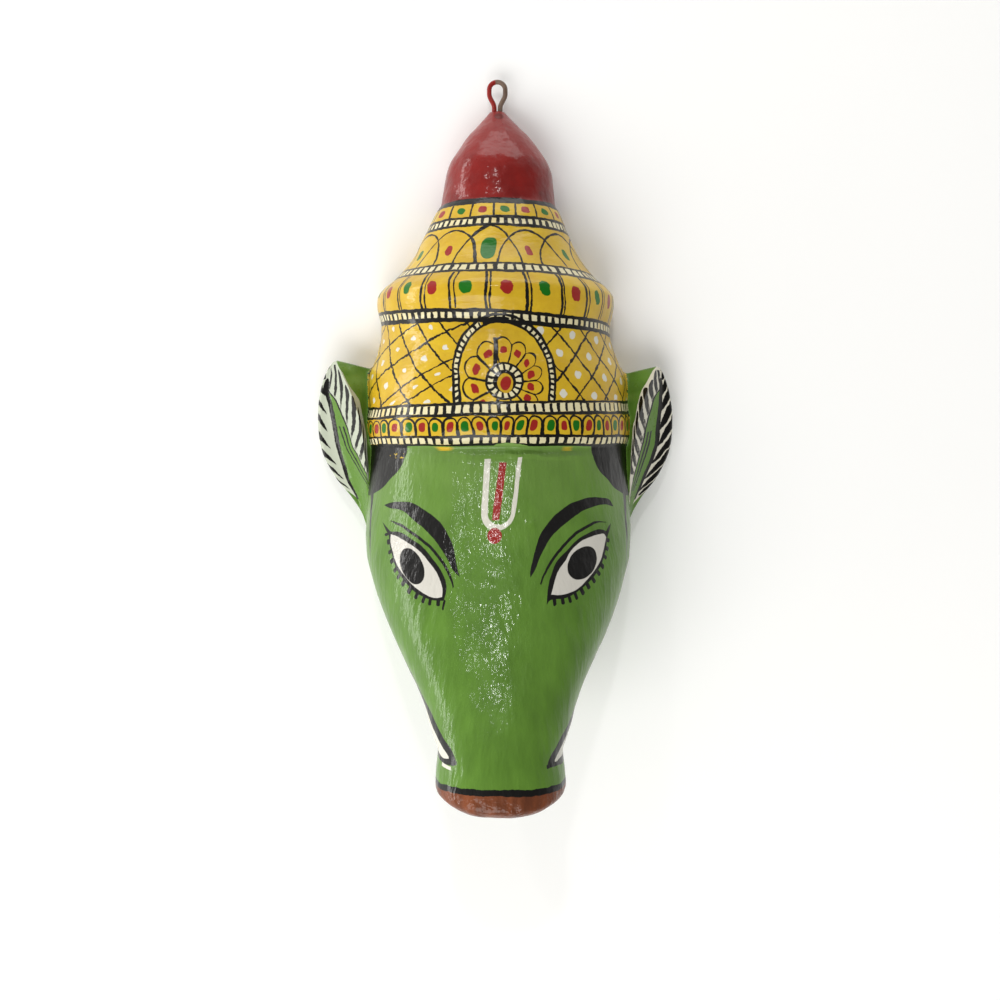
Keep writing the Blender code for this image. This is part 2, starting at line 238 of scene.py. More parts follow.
# Each light: where it stands, its width and height in metres, its watts and its colour
LIT_PLACE = (0, 0, 0.03)
LIGHTS = (
    ("left window", (-1.5, 0.25, 0.13), (1.8, 0.24), 12.0, (1.0, 0.99, 0.965)),
    ("far window", (0.1, 1.5, 0.35), (1.6, 0.6), 9.0, (1.0, 0.99, 0.97)),
    ("near window", (-0.45, -1.0, 1.25), (1.6, 1.0), 23.0, (1.0, 0.995, 0.98)),
    ("far lamp", (-0.05, 0.6, 1.0), (0.05, 0.05), 1.2, (1.0, 1.0, 1.0)),
    ("left lamp", (-0.45, 0.58, 0.92), (0.05, 0.05), 0.5, (1.0, 1.0, 1.0)),
)

# How glossy the dried enamel is, how soft its gloss, and how square a loaded brush's blot
PAINT_SHEEN = 0.12
COAT_ROUGHNESS = 0.12
BLOT_SQUARENESS = 2.6

# The shell's paints, as places in its list of materials
FACE_SKIN, CROWN_BANDS, TOP_DOME, EARS, INSIDE = range(5)


def monotone(xs, ys, at):
    """A smooth curve through the points that never overshoots them, read at the given places."""
    gaps = np.diff(xs)
    rises = np.diff(ys) / gaps
    same_way = rises[:-1] * rises[1:] > 0
    both = np.where(same_way, rises[:-1] + rises[1:], 1.0)
    inner = np.where(same_way, 2 * rises[:-1] * rises[1:] / both, 0.0)
    slope = np.concatenate([rises[:1], inner, rises[-1:]])
    at = np.clip(at, xs[0], xs[-1])
    row = np.clip(np.searchsorted(xs, at, side="right") - 1, 0, len(xs) - 2)
    gap = gaps[row]
    t = (at - xs[row]) / gap
    start = ys[row] * (1 + 2 * t) * (1 - t) ** 2 + slope[row] * gap * t * (1 - t) ** 2
    return start + ys[row + 1] * t * t * (3 - 2 * t) - slope[row + 1] * gap * t * t * (1 - t)


def head_sections(heights):
    """Half width, front, widest level and back of the skin at each height."""
    return np.stack([monotone(FORM[:, 0], FORM[:, c], heights) for c in range(1, 5)], axis=-1)


def hollow_sections(heights):
    """The same of the hollow, a wall in from the thinnest skin close by."""
    near = np.stack([head_sections(heights + step) for step in (-WALL / 2, 0.0, WALL / 2)])
    found = near[1].copy()
    found[:, 0] = near[:, :, 0].min(0) - WALL
    found[:, 1] = near[:, :, 1].min(0) - WALL
    found[:, 3] = near[:, :, 3].max(0) + WALL
    return found


def squareness(heights):
    return 2.35 - 0.35 * np.minimum(1.0, heights / 121.0)


def section_points(sections, heights, turns):
    """X and Z on each section, where turn 0 is the front, 90 the +X side and 180 the back."""
    angle = np.radians(90.0 - turns)
    across, up = np.cos(angle), np.sin(angle)
    power = 2 / squareness(heights)
    reach = np.where(up > 0, sections[..., 1] - sections[..., 2], sections[..., 2] - sections[..., 3])
    x = sections[..., 0] * np.sign(across) * np.abs(across) ** power
    return x, sections[..., 2] + reach * np.sign(up) * np.abs(up) ** power


def run_along(x, z):
    """Millimetres from the first place of each row to its others, along the curve."""
    steps = np.cumsum(np.hypot(np.diff(x), np.diff(z)), axis=1)
    return np.concatenate([np.zeros((len(x), 1)), steps], axis=1)


def even_turns(sections, heights, count):
    """Turns that space a ring's points evenly along its section."""
    fine = np.linspace(-180.0, 180.0, 721)
    x, z = section_points(sections[:, None, :], heights[:, None], fine[None, :])
    run = run_along(x, z)
    turns = []
    for line in run:
        turns.append(np.interp(np.linspace(0, line[-1], count, endpoint=False), line, fine))
    return np.array(turns)


def tube_mesh(name, sections_of, heights, sides, paints, zone):
    """A closed tube through the sections, its ends closed by shrinking rings."""
    sections = sections_of(heights)
    turns = even_turns(sections, heights, sides)
    x, z = section_points(sections[:, None, :], heights[:, None], turns)
    y = np.repeat(heights[:, None], sides, axis=1)
    middle = (sections[:, 1] + sections[:, 3]) / 2
    rings = [np.stack([x[i], y[i], z[i]], axis=-1) for i in range(len(heights))]
    for end in (0, -1):
        for k in range(1, CAP_RINGS):
            share = 1 - k / CAP_RINGS
            base = np.stack([x[end], y[end], z[end]], axis=-1)
            centre = np.array([0.0, heights[end], middle[end]])
            ring = centre + (base - centre) * share
            if end == 0:
                rings.insert(0, ring)
            else:
                rings.append(ring)
    points = np.concatenate(rings)
    count = len(rings)
    first, last = len(points), len(points) + 1
    ends = [[0.0, heights[0], middle[0]], [0.0, heights[-1], middle[-1]]]
    points = np.concatenate([points, ends])
    points[:, 1] -= MIDDLE
    faces = []
    for r in range(count - 1):
        low, high = r * sides, (r + 1) * sides
        for i in range(sides):
            j = (i + 1) % sides
            faces.append((low + i, high + i, high + j, low + j))
    top = (count - 1) * sides
    for i in range(sides):
        j = (i + 1) % sides
        faces.append((first, i, j))
        faces.append((last, top + j, top + i))
    return painted_mesh(name, points, faces, paints, zone)


def painted_mesh(name, points, faces, paints, zone):
    """A closed mesh from points in millimetres, all in one of the shell's paints."""
    mesh = bpy.data.meshes.new(name)
    mesh.from_pydata((points / 1000).tolist(), [], faces)
    for material in paints:
        mesh.materials.append(material)
    mesh.polygons.foreach_set("material_index", np.full(len(faces), zone, np.int32))
    face_out(mesh)
    return mesh


def face_out(mesh):
    """Turns a closed mesh's faces outwards."""
    bm = bmesh.new()
    bm.from_mesh(mesh)
    bmesh.ops.recalc_face_normals(bm, faces=bm.faces)
    if bm.calc_volume(signed=True) < 0:
        bmesh.ops.reverse_faces(bm, faces=bm.faces)
    bm.to_mesh(mesh)
    bm.free()


def guide_line(rows, at, length, side):
    """A smooth line through an ear's guide rows, in millimetres."""
    rows = np.array(rows)
    last = len(rows) - 1
    i = np.minimum((at * last).astype(int), last - 1)
    u = (at * last - i)[:, None]
    a, b = rows[np.maximum(i - 1, 0)], rows[i]
    c, d = rows[i + 1], rows[np.minimum(i + 2, last)]
    share = b + 0.5 * u * (c - a + (2 * a - 5 * b + 4 * c - d) * u + (3 * (b - c) + d - a) * u * u)
    x = side * (WIDTH / 2 + share[:, 0] * (EAR_SPAN - WIDTH) / 2)
    return np.stack([x, EAR_ROOT + share[:, 1] * length, share[:, 2] * EAR_RISE], axis=-1)


def ear_mesh(side, paints, stations=72, leaf_strips=34, web_strips=12):
    """One ear as a closed leaf with rounded edges, and the place of each point on the leaf."""
    at = np.linspace(0, 1, stations)
    length = EAR_LENGTHS[side]
    edge, fold, foot = (guide_line(rows, at, length, side) for rows in (EAR_EDGE, EAR_FOLD, EAR_FOOT))
    edge[:, 0] += side * EAR_SPREAD[side] * np.sin(np.pi * at)
    rib = EAR_RIB_AT_ROOT + (EAR_RIB_AT_TIP - EAR_RIB_AT_ROOT) * at
    rounded = np.linspace(0, 1, 7) ** 2 * EAR_EDGE_SHARE
    leaf = np.concatenate([rounded, np.linspace(EAR_EDGE_SHARE, 1, leaf_strips + 1)[1:]])
    web = np.linspace(0, 1, web_strips + 1)[1:]
    front, thick, place = [], [], []
    for u in leaf:
        cup = np.where(u < rib, u / rib, (1 - u) / (1 - rib))
        points = edge + (fold - edge) * u
        points[:, 2] -= EAR_CUP * np.sin(np.pi * at) * np.sin(cup * np.pi / 2)
        front.append(points)
        place.append(np.stack([np.full(stations, u), at, rib], axis=-1))
        thick.append(min(1.0, u / EAR_EDGE_SHARE))
    for w in web:
        points = fold + (foot - fold) * w
        front.append(points)
        place.append(np.stack([np.full(stations, 1 + w), at, rib], axis=-1))
        thick.append(1.0)
    front, place = np.array(front), np.array(place)
    swell = np.sqrt(np.clip(1 - (1 - np.array(thick)) ** 2, 0, 1))[:, None]
    tip = np.clip((1 - at) / EAR_TIP_SHARE, 0, 1)
    swell = np.maximum(swell * np.sqrt(1 - (1 - tip) ** 2)[None, :], EAR_THINNEST)
    back = front.copy()
    front[:, :, 2] -= EAR_WALL / 2 * (1 - swell)
    back[:, :, 2] -= EAR_WALL / 2 * (1 + swell)
    rows = np.concatenate([front, back[::-1]])
    places = np.concatenate([place, place[::-1]])
    count = len(rows)
    points = rows.reshape(-1, 3).copy()
    points[:, 1] -= MIDDLE
    faces = []
    for r in range(count):
        q = (r + 1) % count
        for i in range(stations - 1):
            faces.append((r * stations + i, q * stations + i, q * stations + i + 1, r * stations + i + 1))
    half = count // 2
    for r in range(half - 1):
        for i in (0, stations - 1):
            faces.append(tuple(row * stations + i for row in (r, r + 1, count - 2 - r, count - 1 - r)))
    mesh = painted_mesh("ear", points, faces, paints, EARS)
    set_vectors(mesh, "leaf", places)
    return mesh


def add_object(name, data):
    thing = bpy.data.objects.new(name, data)
    bpy.context.scene.collection.objects.link(thing)
    return thing


def evaluated_copy(thing, name):
    """A plain mesh of what the object's modifiers make."""
    graph = bpy.context.evaluated_depsgraph_get()
    mesh = bpy.data.meshes.new_from_object(thing.evaluated_get(graph))
    mesh.name = name
    return mesh


def numbers_of(items, name, width=1, kind=np.float32):
    """One property of a mesh's vertices, edges, corners or faces, as rows of numbers."""
    found = np.empty(len(items) * width, kind)
    items.foreach_get(name, found)
    return found.reshape(-1, width) if width > 1 else found


def search_tree(points):
    """A tree that finds the nearest of the points quickly."""
    tree = kdtree.KDTree(len(points))
    for i, point in enumerate(points):
        tree.insert(point, i)
    tree.balance()
    return tree


def sway(heights):
    """How far the hand-moulded head leans sideways at each height, in millimetres."""
    return np.interp(heights, *zip(*SWAY))


def wrap_places(points):
    """Where points lie on the skin: turn in degrees, height and run from the front line in
    millimetres, and the same without the side's sign beside the millimetres in one degree."""
    heights = points[:, 1] * 1000 + MIDDLE
    x, z = points[:, 0] * 1000, points[:, 2] * 1000
    sections = head_sections(heights)
    power = squareness(heights) / 2
    reach = np.where(z > sections[:, 2], sections[:, 1] - sections[:, 2], sections[:, 2] - sections[:, 3])
    across = np.sign(x) * (np.abs(x) / sections[:, 0]) ** power
    up = (z - sections[:, 2]) / reach
    up = np.sign(up) * np.abs(up) ** power
    turns = np.degrees(np.arctan2(across, up))
    fine_heights = np.linspace(0, LENGTH, 180)
    fine_turns = np.linspace(0, 180, 181)
    fine_sections = head_sections(fine_heights)[:, None, :]
    fx, fz = section_points(fine_sections, fine_heights[:, None], fine_turns[None, :])
    runs = run_along(fx, fz)
    row = np.clip(heights / LENGTH * 179, 0, 178.999)
    col = np.clip(np.abs(turns), 0, 179.999)
    r, c = row.astype(int), col.astype(int)
    dr, dc = row - r, col - c
    low = runs[r, c] * (1 - dc) + runs[r, c + 1] * dc
    high = runs[r + 1, c] * (1 - dc) + runs[r + 1, c + 1] * dc
    run = low * (1 - dr) + high * dr
    side = np.sign(turns)
    girth = np.radians(sections[:, 0])
    wrap = np.stack([turns, heights, side * run], axis=-1)
    return wrap, np.stack([np.abs(turns), run, girth], axis=-1)


def slice_levels(mesh, levels):
    """Cuts the mesh into rings at each level over the rim, so that an edge there can be rounded."""
    bm = bmesh.new()
    bm.from_mesh(mesh)
    for level in levels:
        geom = [*bm.verts, *bm.edges, *bm.faces]
        bmesh.ops.bisect_plane(bm, geom=geom, plane_co=(0, 0, level / 1000), plane_no=(0, 0, 1), dist=1e-6)
    bm.to_mesh(mesh)
    bm.free()


def cut_at_rim(mesh):
    """Takes away what lies under the rim plane and closes the cut."""
    bm = bmesh.new()
    bm.from_mesh(mesh)
    geom = [*bm.verts, *bm.edges, *bm.faces]
    cut = bmesh.ops.bisect_plane(bm, geom=geom, plane_co=(0, 0, 0), plane_no=(0, 0, 1), clear_inner=True)
    rim = [edge for edge in cut["geom_cut"] if isinstance(edge, bmesh.types.BMEdge)]
    bmesh.ops.contextual_create(bm, geom=rim)
    bmesh.ops.recalc_face_normals(bm, faces=bm.faces)
    bm.to_mesh(mesh)
    bm.free()


def skin_heights(step):
    """Heights of the skin's rings, with one on the crown's lower edge and one under the dome."""
    marks = (0.0, CROWN_EDGE, DOME_EDGE, LENGTH)
    rows = [np.linspace(a, b, math.ceil((b - a) / step), endpoint=False) for a, b in zip(marks, marks[1:])]
    return np.concatenate([*rows, [LENGTH]])


def set_vectors(mesh, name, values):
    """Gives each point of the mesh three numbers under a name."""
    attribute = mesh.attributes.get(name) or mesh.attributes.new(name, "FLOAT_VECTOR", "POINT")
    attribute.data.foreach_set("vector", values.reshape(-1).astype(np.float32))


def neighbour_mean(points, edges, times, weight):
    """Draws points towards the mean of their neighbours, by each one's weight."""
    count = np.bincount(edges.reshape(-1), minlength=len(points))[:, None]
    for _ in range(times):
        total = np.zeros_like(points)
        np.add.at(total, edges[:, 0], points[edges[:, 1]])
        np.add.at(total, edges[:, 1], points[edges[:, 0]])
        points = points + (total / count - points) * weight[:, None]
    return points


def corner_zones(mesh):
    """The point at each face's corner, and the number of the face's paint there."""
    counts = numbers_of(mesh.polygons, "loop_total", kind=np.int32)
    zones = numbers_of(mesh.polygons, "material_index", kind=np.int32)
    return numbers_of(mesh.loops, "vertex_index", kind=np.int32), np.repeat(zones, counts)


def points_of(mesh, *paints):
    """Which of the mesh's points lie on faces with one of these paints."""
    corners, of_corner = corner_zones(mesh)
    found = np.zeros(len(mesh.vertices), bool)
    found[corners[np.isin(of_corner, paints)]] = True
    return found


def seam_weight(mesh, points):
    """How near each point is to the line where an ear meets the head, from 0 at the reach to 1."""
    seam = points_of(mesh, EARS) & points_of(mesh, FACE_SKIN, CROWN_BANDS)
    tree = search_tree(points[seam])
    gap = np.array([tree.find(point)[2] for point in points])
    return np.clip(1 - gap / FILLET_REACH, 0, 1)


def lumps(points, size, seed):
    """Soft unevenness of hand-laid paper, from -1 to 1, with bumps of about the given size."""
    found = np.empty(len(points))
    for i, point in enumerate(points):
        found[i] = noise.noise(Vector((point[0] / size + seed, point[1] / size, point[2] / size)))
    return found


def mend_leaf(mesh, points):
    """Gives the points where an ear was cut against the head the place of the nearest point on the ear."""
    on_ear = points_of(mesh, EARS)
    leaf = numbers_of(mesh.attributes["leaf"].data, "vector", 3)
    placed = leaf[:, 2] > EAR_RIB_AT_TIP - 0.01
    known = np.flatnonzero(on_ear & placed)
    tree = search_tree(points[known])
    for k in np.flatnonzero(on_ear & ~placed):
        leaf[k] = leaf[known[tree.find(points[k])[1]]]
    set_vectors(mesh, "leaf", leaf)


def shape_shell(mesh):
    """Gives the shell its painted places, then the fillets, lumps and rounded rim of a hand-made thing."""
    points = numbers_of(mesh.vertices, "co", 3).astype(float) * 1000
    mend_leaf(mesh, points)
    wrap, flank = wrap_places(points / 1000)
    set_vectors(mesh, "wrap", wrap)
    set_vectors(mesh, "flank", flank)
    edges = numbers_of(mesh.edges, "vertices", 2, np.int32)
    normals = numbers_of(mesh.vertices, "normal", 3).astype(float)
    z = points[:, 2]

    level = normals * (1, 1, 0)
    level /= np.maximum(np.linalg.norm(level, axis=1, keepdims=True), 1e-6)
    low = np.clip(RIM_ROUND - z, 0, RIM_ROUND)
    points = points - level * (RIM_ROUND - np.sqrt(RIM_ROUND**2 - low**2))[:, None]

    fillet = seam_weight(mesh, points) * (z > 3)
    points = neighbour_mean(points, edges, FILLET_PASSES, FILLET_STRENGTH * fillet)

    height, run = wrap[:, 1], wrap[:, 2]
    aside = np.abs(points[:, 0]) / SNOUT_HALF
    points[:, 1] += (SNOUT_ROUND * aside**3 - SNOUT_DROP) * np.clip(1 - height / SNOUT_BEND, 0, 1) ** 1.3
    spread = np.clip(aside, 0, 1) ** 4 * np.clip(1 - height / SNOUT_BEND * 2, 0, 1)
    points[:, 0] *= 1 + SNOUT_SPREAD * spread
    rise = sum(amount * lumps(points, size, seed) for amount, size, seed in SKIN_LUMPS)
    rise += 0.2 * (height > DOME_EDGE) * lumps(points, 9.0, 1.4)
    paper_edge = PAPER_EDGE + 0.9 * lumps(points, 11.0, 6.6)
    under_crown = np.clip(1 - np.abs(run - 6) / 34, 0, 1) ** 0.5
    ridge = np.exp(-(((height - paper_edge) / 0.75) ** 2))
    dip = np.exp(-(((height - paper_edge + 1.6) / 0.8) ** 2))
    rise += under_crown * (0.34 * ridge - 0.16 * dip) * (0.6 + 0.8 * np.abs(lumps(points, 5.0, 2.2)))
    for spot_run, spot_height, spot_size, spot_rise in GRAINS_UNDER_PAINT:
        away = np.hypot(run - spot_run, height - spot_height) / spot_size
        rise += spot_rise * np.exp(-(away**2))
    rise *= np.clip((z - 0.4) / 3, 0, 1)
    points = points + normals * rise[:, None]
    points[:, 0] += sway(height)
    points = points / 1000
    mesh.vertices.foreach_set("co", points.reshape(-1).astype(np.float32))
    mesh.shade_smooth()
    mesh.set_sharp_from_angle(angle=math.radians(70))
    mesh.update()


def mask_shell(paints):
    """The moulded shell: head, crown and ears in one, hollow and open at the back."""
    head = tube_mesh("head", head_sections, skin_heights(SKIN_STEP), SKIN_SIDES, paints, FACE_SKIN)
    slice_levels(head, RIM_LEVELS)
    cut_at_rim(head)
    heights = numbers_of(head.polygons, "center", 3)[:, 1] * 1000 + MIDDLE
    zones = np.where(heights > CROWN_EDGE, CROWN_BANDS, FACE_SKIN)
    zones[heights > DOME_EDGE] = TOP_DOME
    head.polygons.foreach_set("material_index", zones.astype(np.int32))
    hollow_heights = np.linspace(WALL, HOLLOW_END, HOLLOW_RINGS)
    hollow = tube_mesh("hollow", hollow_sections, hollow_heights, HOLLOW_SIDES, paints, INSIDE)
    slice_levels(hollow, RIM_LEVELS)
    shell = add_object("shell", head)
    tools = [(add_object("ear", ear_mesh(side, paints)), "UNION") for side in (1, -1)]
    tools.append((add_object("hollow", hollow), "DIFFERENCE"))
    for tool, operation in tools:
        modifier = shell.modifiers.new(operation, "BOOLEAN")
        modifier.operation = operation
        modifier.solver = "MANIFOLD"
        modifier.object = tool
    mesh = evaluated_copy(shell, "mask_paper")
    bpy.data.objects.remove(shell)
    for tool, _ in tools:
        bpy.data.objects.remove(tool)
    shape_shell(mesh)
    return mesh


def loop_line():
    """The wire's centre line, up one leg, round the eye and down the other."""
    radius = STRAND / 2
    bend = EYE_WIDTH / 2 + radius
    leg = LEG_GAP / 2 + radius
    eye_low = LENGTH + NECK_LENGTH + EYE_WIDTH / 2 + EYE_LIFT
    eye_high = LENGTH + NECK_LENGTH + EYE_LENGTH - EYE_WIDTH / 2
    neck = LENGTH + NECK_LENGTH * 0.5
    half = [(-leg, LENGTH - 5.0), (-leg, LENGTH), (-leg, neck)]
    for i in range(1, 8):
        ease = (1 - math.cos(math.pi * i / 8)) / 2
        half.append((-leg + (leg - bend) * ease, neck + (eye_low - neck) * i / 8))
    half.append((-bend, eye_low))
    arc = [math.pi * (1 - i / 32) for i in range(33)]
    over = [(bend * math.cos(turn), eye_high + bend * math.sin(turn)) for turn in arc]
    down = [(-x, height) for x, height in reversed(half)]
    return [(x / 1000, (height - MIDDLE) / 1000, LOOP_RISE / 1000) for x, height in half + over + down]


def interface_input(tree, name, kind, value):
    socket = tree.interface.new_socket(name=name, in_out="INPUT", socket_type=kind)
    socket.default_value = value
    return socket


def wire_tree(material):
    """Geometry nodes that draw a round wire along a line, a little uneven under its paint."""
    tree = bpy.data.node_groups.new("bent wire", "GeometryNodeTree")
    tree.interface.new_socket(name="Line", in_out="INPUT", socket_type="NodeSocketGeometry")
    interface_input(tree, "Wire radius", "NodeSocketFloat", 0.001)
    interface_input(tree, "Sides", "NodeSocketInt", 20)
    interface_input(tree, "Unevenness", "NodeSocketFloat", 0.05)
    tree.interface.new_socket(name="Wire", in_out="OUTPUT", socket_type="NodeSocketGeometry")
    start = tree.nodes.new("NodeGroupInput").outputs
    ring = {"Resolution": start["Sides"], "Radius": start["Wire radius"]}
    circle = new_node(tree, "GeometryNodeCurvePrimitiveCircle", ring)
    bumps = new_node(tree, "ShaderNodeTexNoise", {"Scale": 420.0})
    swelling = {0: bumps.outputs["Fac"], 1: start["Unevenness"], 2: 0.96}
    swell = new_node(tree, "ShaderNodeMath", swelling, operation="MULTIPLY_ADD")
    uneven = {"Curve": start["Line"], "Radius": swell.outputs[0]}
    radius = new_node(tree, "GeometryNodeSetCurveRadius", uneven)
    tube = new_node(
        tree,
        "GeometryNodeCurveToMesh",
        {"Curve": radius.outputs["Curve"], "Profile Curve": circle.outputs["Curve"], "Fill Caps": True},
    )
    real = new_node(tree, "GeometryNodeRealizeInstances", {"Geometry": tube.outputs["Mesh"]})
    finished = {"Geometry": real.outputs["Geometry"], "Material": material}
    coat = new_node(tree, "GeometryNodeSetMaterial", finished)
    new_node(tree, "NodeGroupOutput", {"Wire": coat.outputs["Geometry"]})
    return tree


def set_input(modifier, name, value):
    """Sets a geometry nodes input by its socket's own identifier."""
    for item in modifier.node_group.interface.items_tree:
        if item.item_type == "SOCKET" and item.in_out == "INPUT" and item.name == name:
            modifier[item.identifier] = value


def hanging_wire(material):
    """The bent wire that the mask hangs by."""
    line = loop_line()
    curve = bpy.data.curves.new("wire line", "CURVE")
    curve.dimensions = "3D"
    spline = curve.splines.new("POLY")
    spline.points.add(len(line) - 1)
    for point, place in zip(spline.points, line):
        point.co = (*place, 1.0)
    guide = add_object("wire line", curve)
    modifier = guide.modifiers.new("bent wire", "NODES")
    modifier.node_group = wire_tree(material)
    set_input(modifier, "Wire radius", STRAND / 2000)
    set_input(modifier, "Sides", 20)
    set_input(modifier, "Unevenness", 0.08)
    mesh = evaluated_copy(guide, "hanging_wire")
    bpy.data.objects.remove(guide)
    face_out(mesh)
    mesh.shade_smooth()
    mesh.set_sharp_from_angle(angle=math.radians(60))
    return add_object("hanging_wire", mesh)


def table_top(material):
    """The pale table that the mask lies on."""
    bpy.ops.mesh.primitive_plane_add(size=6.0, location=(0, 0, -0.0004))
    top = bpy.context.object
    top.name = "table_top"
    top.data.materials.append(material)


def area_light(name, place, size, power, colour):
    """A soft light that faces the mask's middle."""
    light = bpy.data.lights.new(name, "AREA")
    light.shape = "RECTANGLE"
    light.size, light.size_y = size
    light.energy = power
    light.color = colour
    lamp = add_object(name, light)
    lamp.location = place
    lamp.rotation_euler = (Vector(LIT_PLACE) - Vector(place)).to_track_quat("-Z", "Y").to_euler()


def studio():
    """A dim room, brighter near the table and on the left, with its windows and lamps."""
    scene = bpy.context.scene
    world = bpy.data.worlds.new("room")
    world.use_nodes = True
    tree = world.node_tree
    sky = tree.nodes["Background"]
    where = tree.nodes.new("ShaderNodeTexCoord")
    parts = new_node(tree, "ShaderNodeSeparateXYZ", {0: where.outputs["Generated"]})
    sideways, beyond, upward = [Reading(tree, output) for output in parts.outputs]
    walls = upward.along(ROOM_BRIGHTNESS, straight=True) * (1.0 - sideways * 0.4 + beyond * 0.3)
    feed(tree, sky.inputs["Color"], ROOM_WHITE)
    feed(tree, sky.inputs["Strength"], walls)
    scene.world = world
    for name, place, size, power, colour in LIGHTS:
        area_light(name, place, size, power, colour)
    scene.view_settings.view_transform = "Standard"


def camera():
    """Straight down from half a metre, as near as the photograph was taken."""
    lens = bpy.data.cameras.new("camera")
    lens.sensor_width = SENSOR
    lens.lens = SENSOR * CAMERA_HEIGHT / (MM_PER_PIXEL * PICTURE)
    lens.shift_x = 0.5 - CENTRE_PIXEL[0] / PICTURE
    lens.shift_y = CENTRE_PIXEL[1] / PICTURE - 0.5
    lens.clip_start = 0.05
    thing = add_object("camera", lens)
    thing.location = (CAMERA_X / 1000, (CAMERA_LEVEL - MIDDLE) / 1000, CAMERA_HEIGHT / 1000)
    bpy.context.scene.camera = thing


class Reading:
    """A number read off a painted surface, which sums and comparisons turn into new ones."""

    def __init__(self, tree, socket):
        self.tree = tree
        self.socket = socket

    def step(self, kind, *others, clamp=False):
        values = enumerate((self, *others))
        node = new_node(self.tree, "ShaderNodeMath", values, operation=kind, use_clamp=clamp)
        return Reading(self.tree, node.outputs[0])

    def __add__(self, other):
        return self.step("ADD", other)

    __radd__ = __add__

    def __sub__(self, other):
        return self.step("SUBTRACT", other)

    def __rsub__(self, other):
        return self.step("MULTIPLY_ADD", -1.0, other)

    def __mul__(self, other):
        return self.step("MULTIPLY", other)

    __rmul__ = __mul__

    def __truediv__(self, other):
        return self.step("DIVIDE", other)

    def __abs__(self):
        return self.step("ABSOLUTE")

    def over(self, limit):
        """1 where the number is over the limit, else 0."""
        return self.step("GREATER_THAN", limit)

    def share(self, scale=1.0):
        """The number times the scale, kept between 0 and 1."""
        return self.step("MULTIPLY", scale, clamp=True)

    def positive(self):
        """The number, or 0 where it is below."""
        return self.step("MAXIMUM", 0.0)

    def nearest(self):
        """The nearest whole number."""
        return (self + 0.5).step("FLOOR")

    def beside(self):
        """How far the number is past the nearest whole one."""
        return self - self.nearest()

    def chance(self, seed=0.0):
        """A random share, the same wherever the whole number is the same."""
        place = {"W": self + (0.37 + seed)}
        node = new_node(self.tree, "ShaderNodeTexWhiteNoise", place, noise_dimensions="1D")
        return Reading(self.tree, node.outputs["Value"])

    def along(self, points, straight=False):
        """Reads a line drawn through (place, value) points at this place."""
        node = self.tree.nodes.new("ShaderNodeFloatCurve")
        mapping = node.mapping
        mapping.use_clip = False
        mapping.extend = "EXTRAPOLATED" if straight else "HORIZONTAL"
        line = mapping.curves[0]
        ordered = sorted(points)
        for place, value in ordered[1:-1]:
            line.points.new(place, value)
        line.points[0].location = ordered[0]
        line.points[-1].location = ordered[-1]
        for point, (place, value) in zip(line.points, ordered):
            point.location = (place, value)
            point.handle_type = "VECTOR" if straight else "AUTO_CLAMPED"
        mapping.update()
        feed(self.tree, node.inputs["Value"], self)
        return Reading(self.tree, node.outputs[0])


def feed(tree, socket, value):
    """Gives a node's input a reading, another node's output, a colour or a number."""
    if isinstance(value, Reading):
        tree.links.new(value.socket, socket)
    elif isinstance(value, bpy.types.NodeSocket):
        tree.links.new(value, socket)
    elif isinstance(value, tuple):
        socket.default_value = (*value, 1.0)
    else:
        socket.default_value = value


def new_node(tree, kind, values=(), **settings):
    """Adds a node with these settings and feeds its inputs, by their names or numbers."""
    node = tree.nodes.new(kind)
    for name, value in settings.items():
        setattr(node, name, value)
    for key, value in dict(values).items():
        feed(tree, node.inputs[key], value)
    return node


def least(first, *others):
    for other in others:
        first = first.step("MINIMUM", other)
    return first


def most(first, *others):
    for other in others:
        first = first.step("MAXIMUM", other)
    return first


def length_of(across, up):
    """Distance from the middle, from the distances across and up."""
    tree = across.tree
    both = new_node(tree, "ShaderNodeCombineXYZ", {0: across, 1: up})
    whole = new_node(tree, "ShaderNodeVectorMath", {0: both.outputs[0]}, operation="LENGTH")
    return Reading(tree, whole.outputs["Value"])


def band(place, low, high):
    """How far outside a band a place is, in its own unit; less than 0 inside."""
    return abs(place - (low + high) / 2) - abs(high - low) / 2


def oval(across, up, width, height):
    """How far outside an oval of that width and height a place is."""
    return (length_of(across * (2 / width), up * (2 / height)) - 1.0) * (min(width, height) / 2)


def blot(across, up, width, height):
    """Like an oval, but nearer a square, as a loaded brush leaves it."""
    wide = abs(across * (2 / width)).step("POWER", BLOT_SQUARENESS)
    high = abs(up * (2 / height)).step("POWER", BLOT_SQUARENESS)
    return ((wide + high).step("POWER", 1 / BLOT_SQUARENESS) - 1.0) * (min(width, height) / 2)


def inside(gap, soft=0.14):
    """1 inside a painted shape, 0 outside, with an edge as soft as a brush leaves it."""
    return gap.step("MULTIPLY_ADD", -1 / soft, 0.5, clamp=True)


def cells(place, marks):
    """The number of the cell whose mark is nearest, and the place in it from -0.5 to 0.5."""
    count = place.along([(mark, i) for i, mark in enumerate(marks)], straight=True)
    return count.nearest(), count.beside()


def odd(number):
    """1 for odd numbers, 0 for even ones."""
    return abs(number.step("MODULO", 2.0))


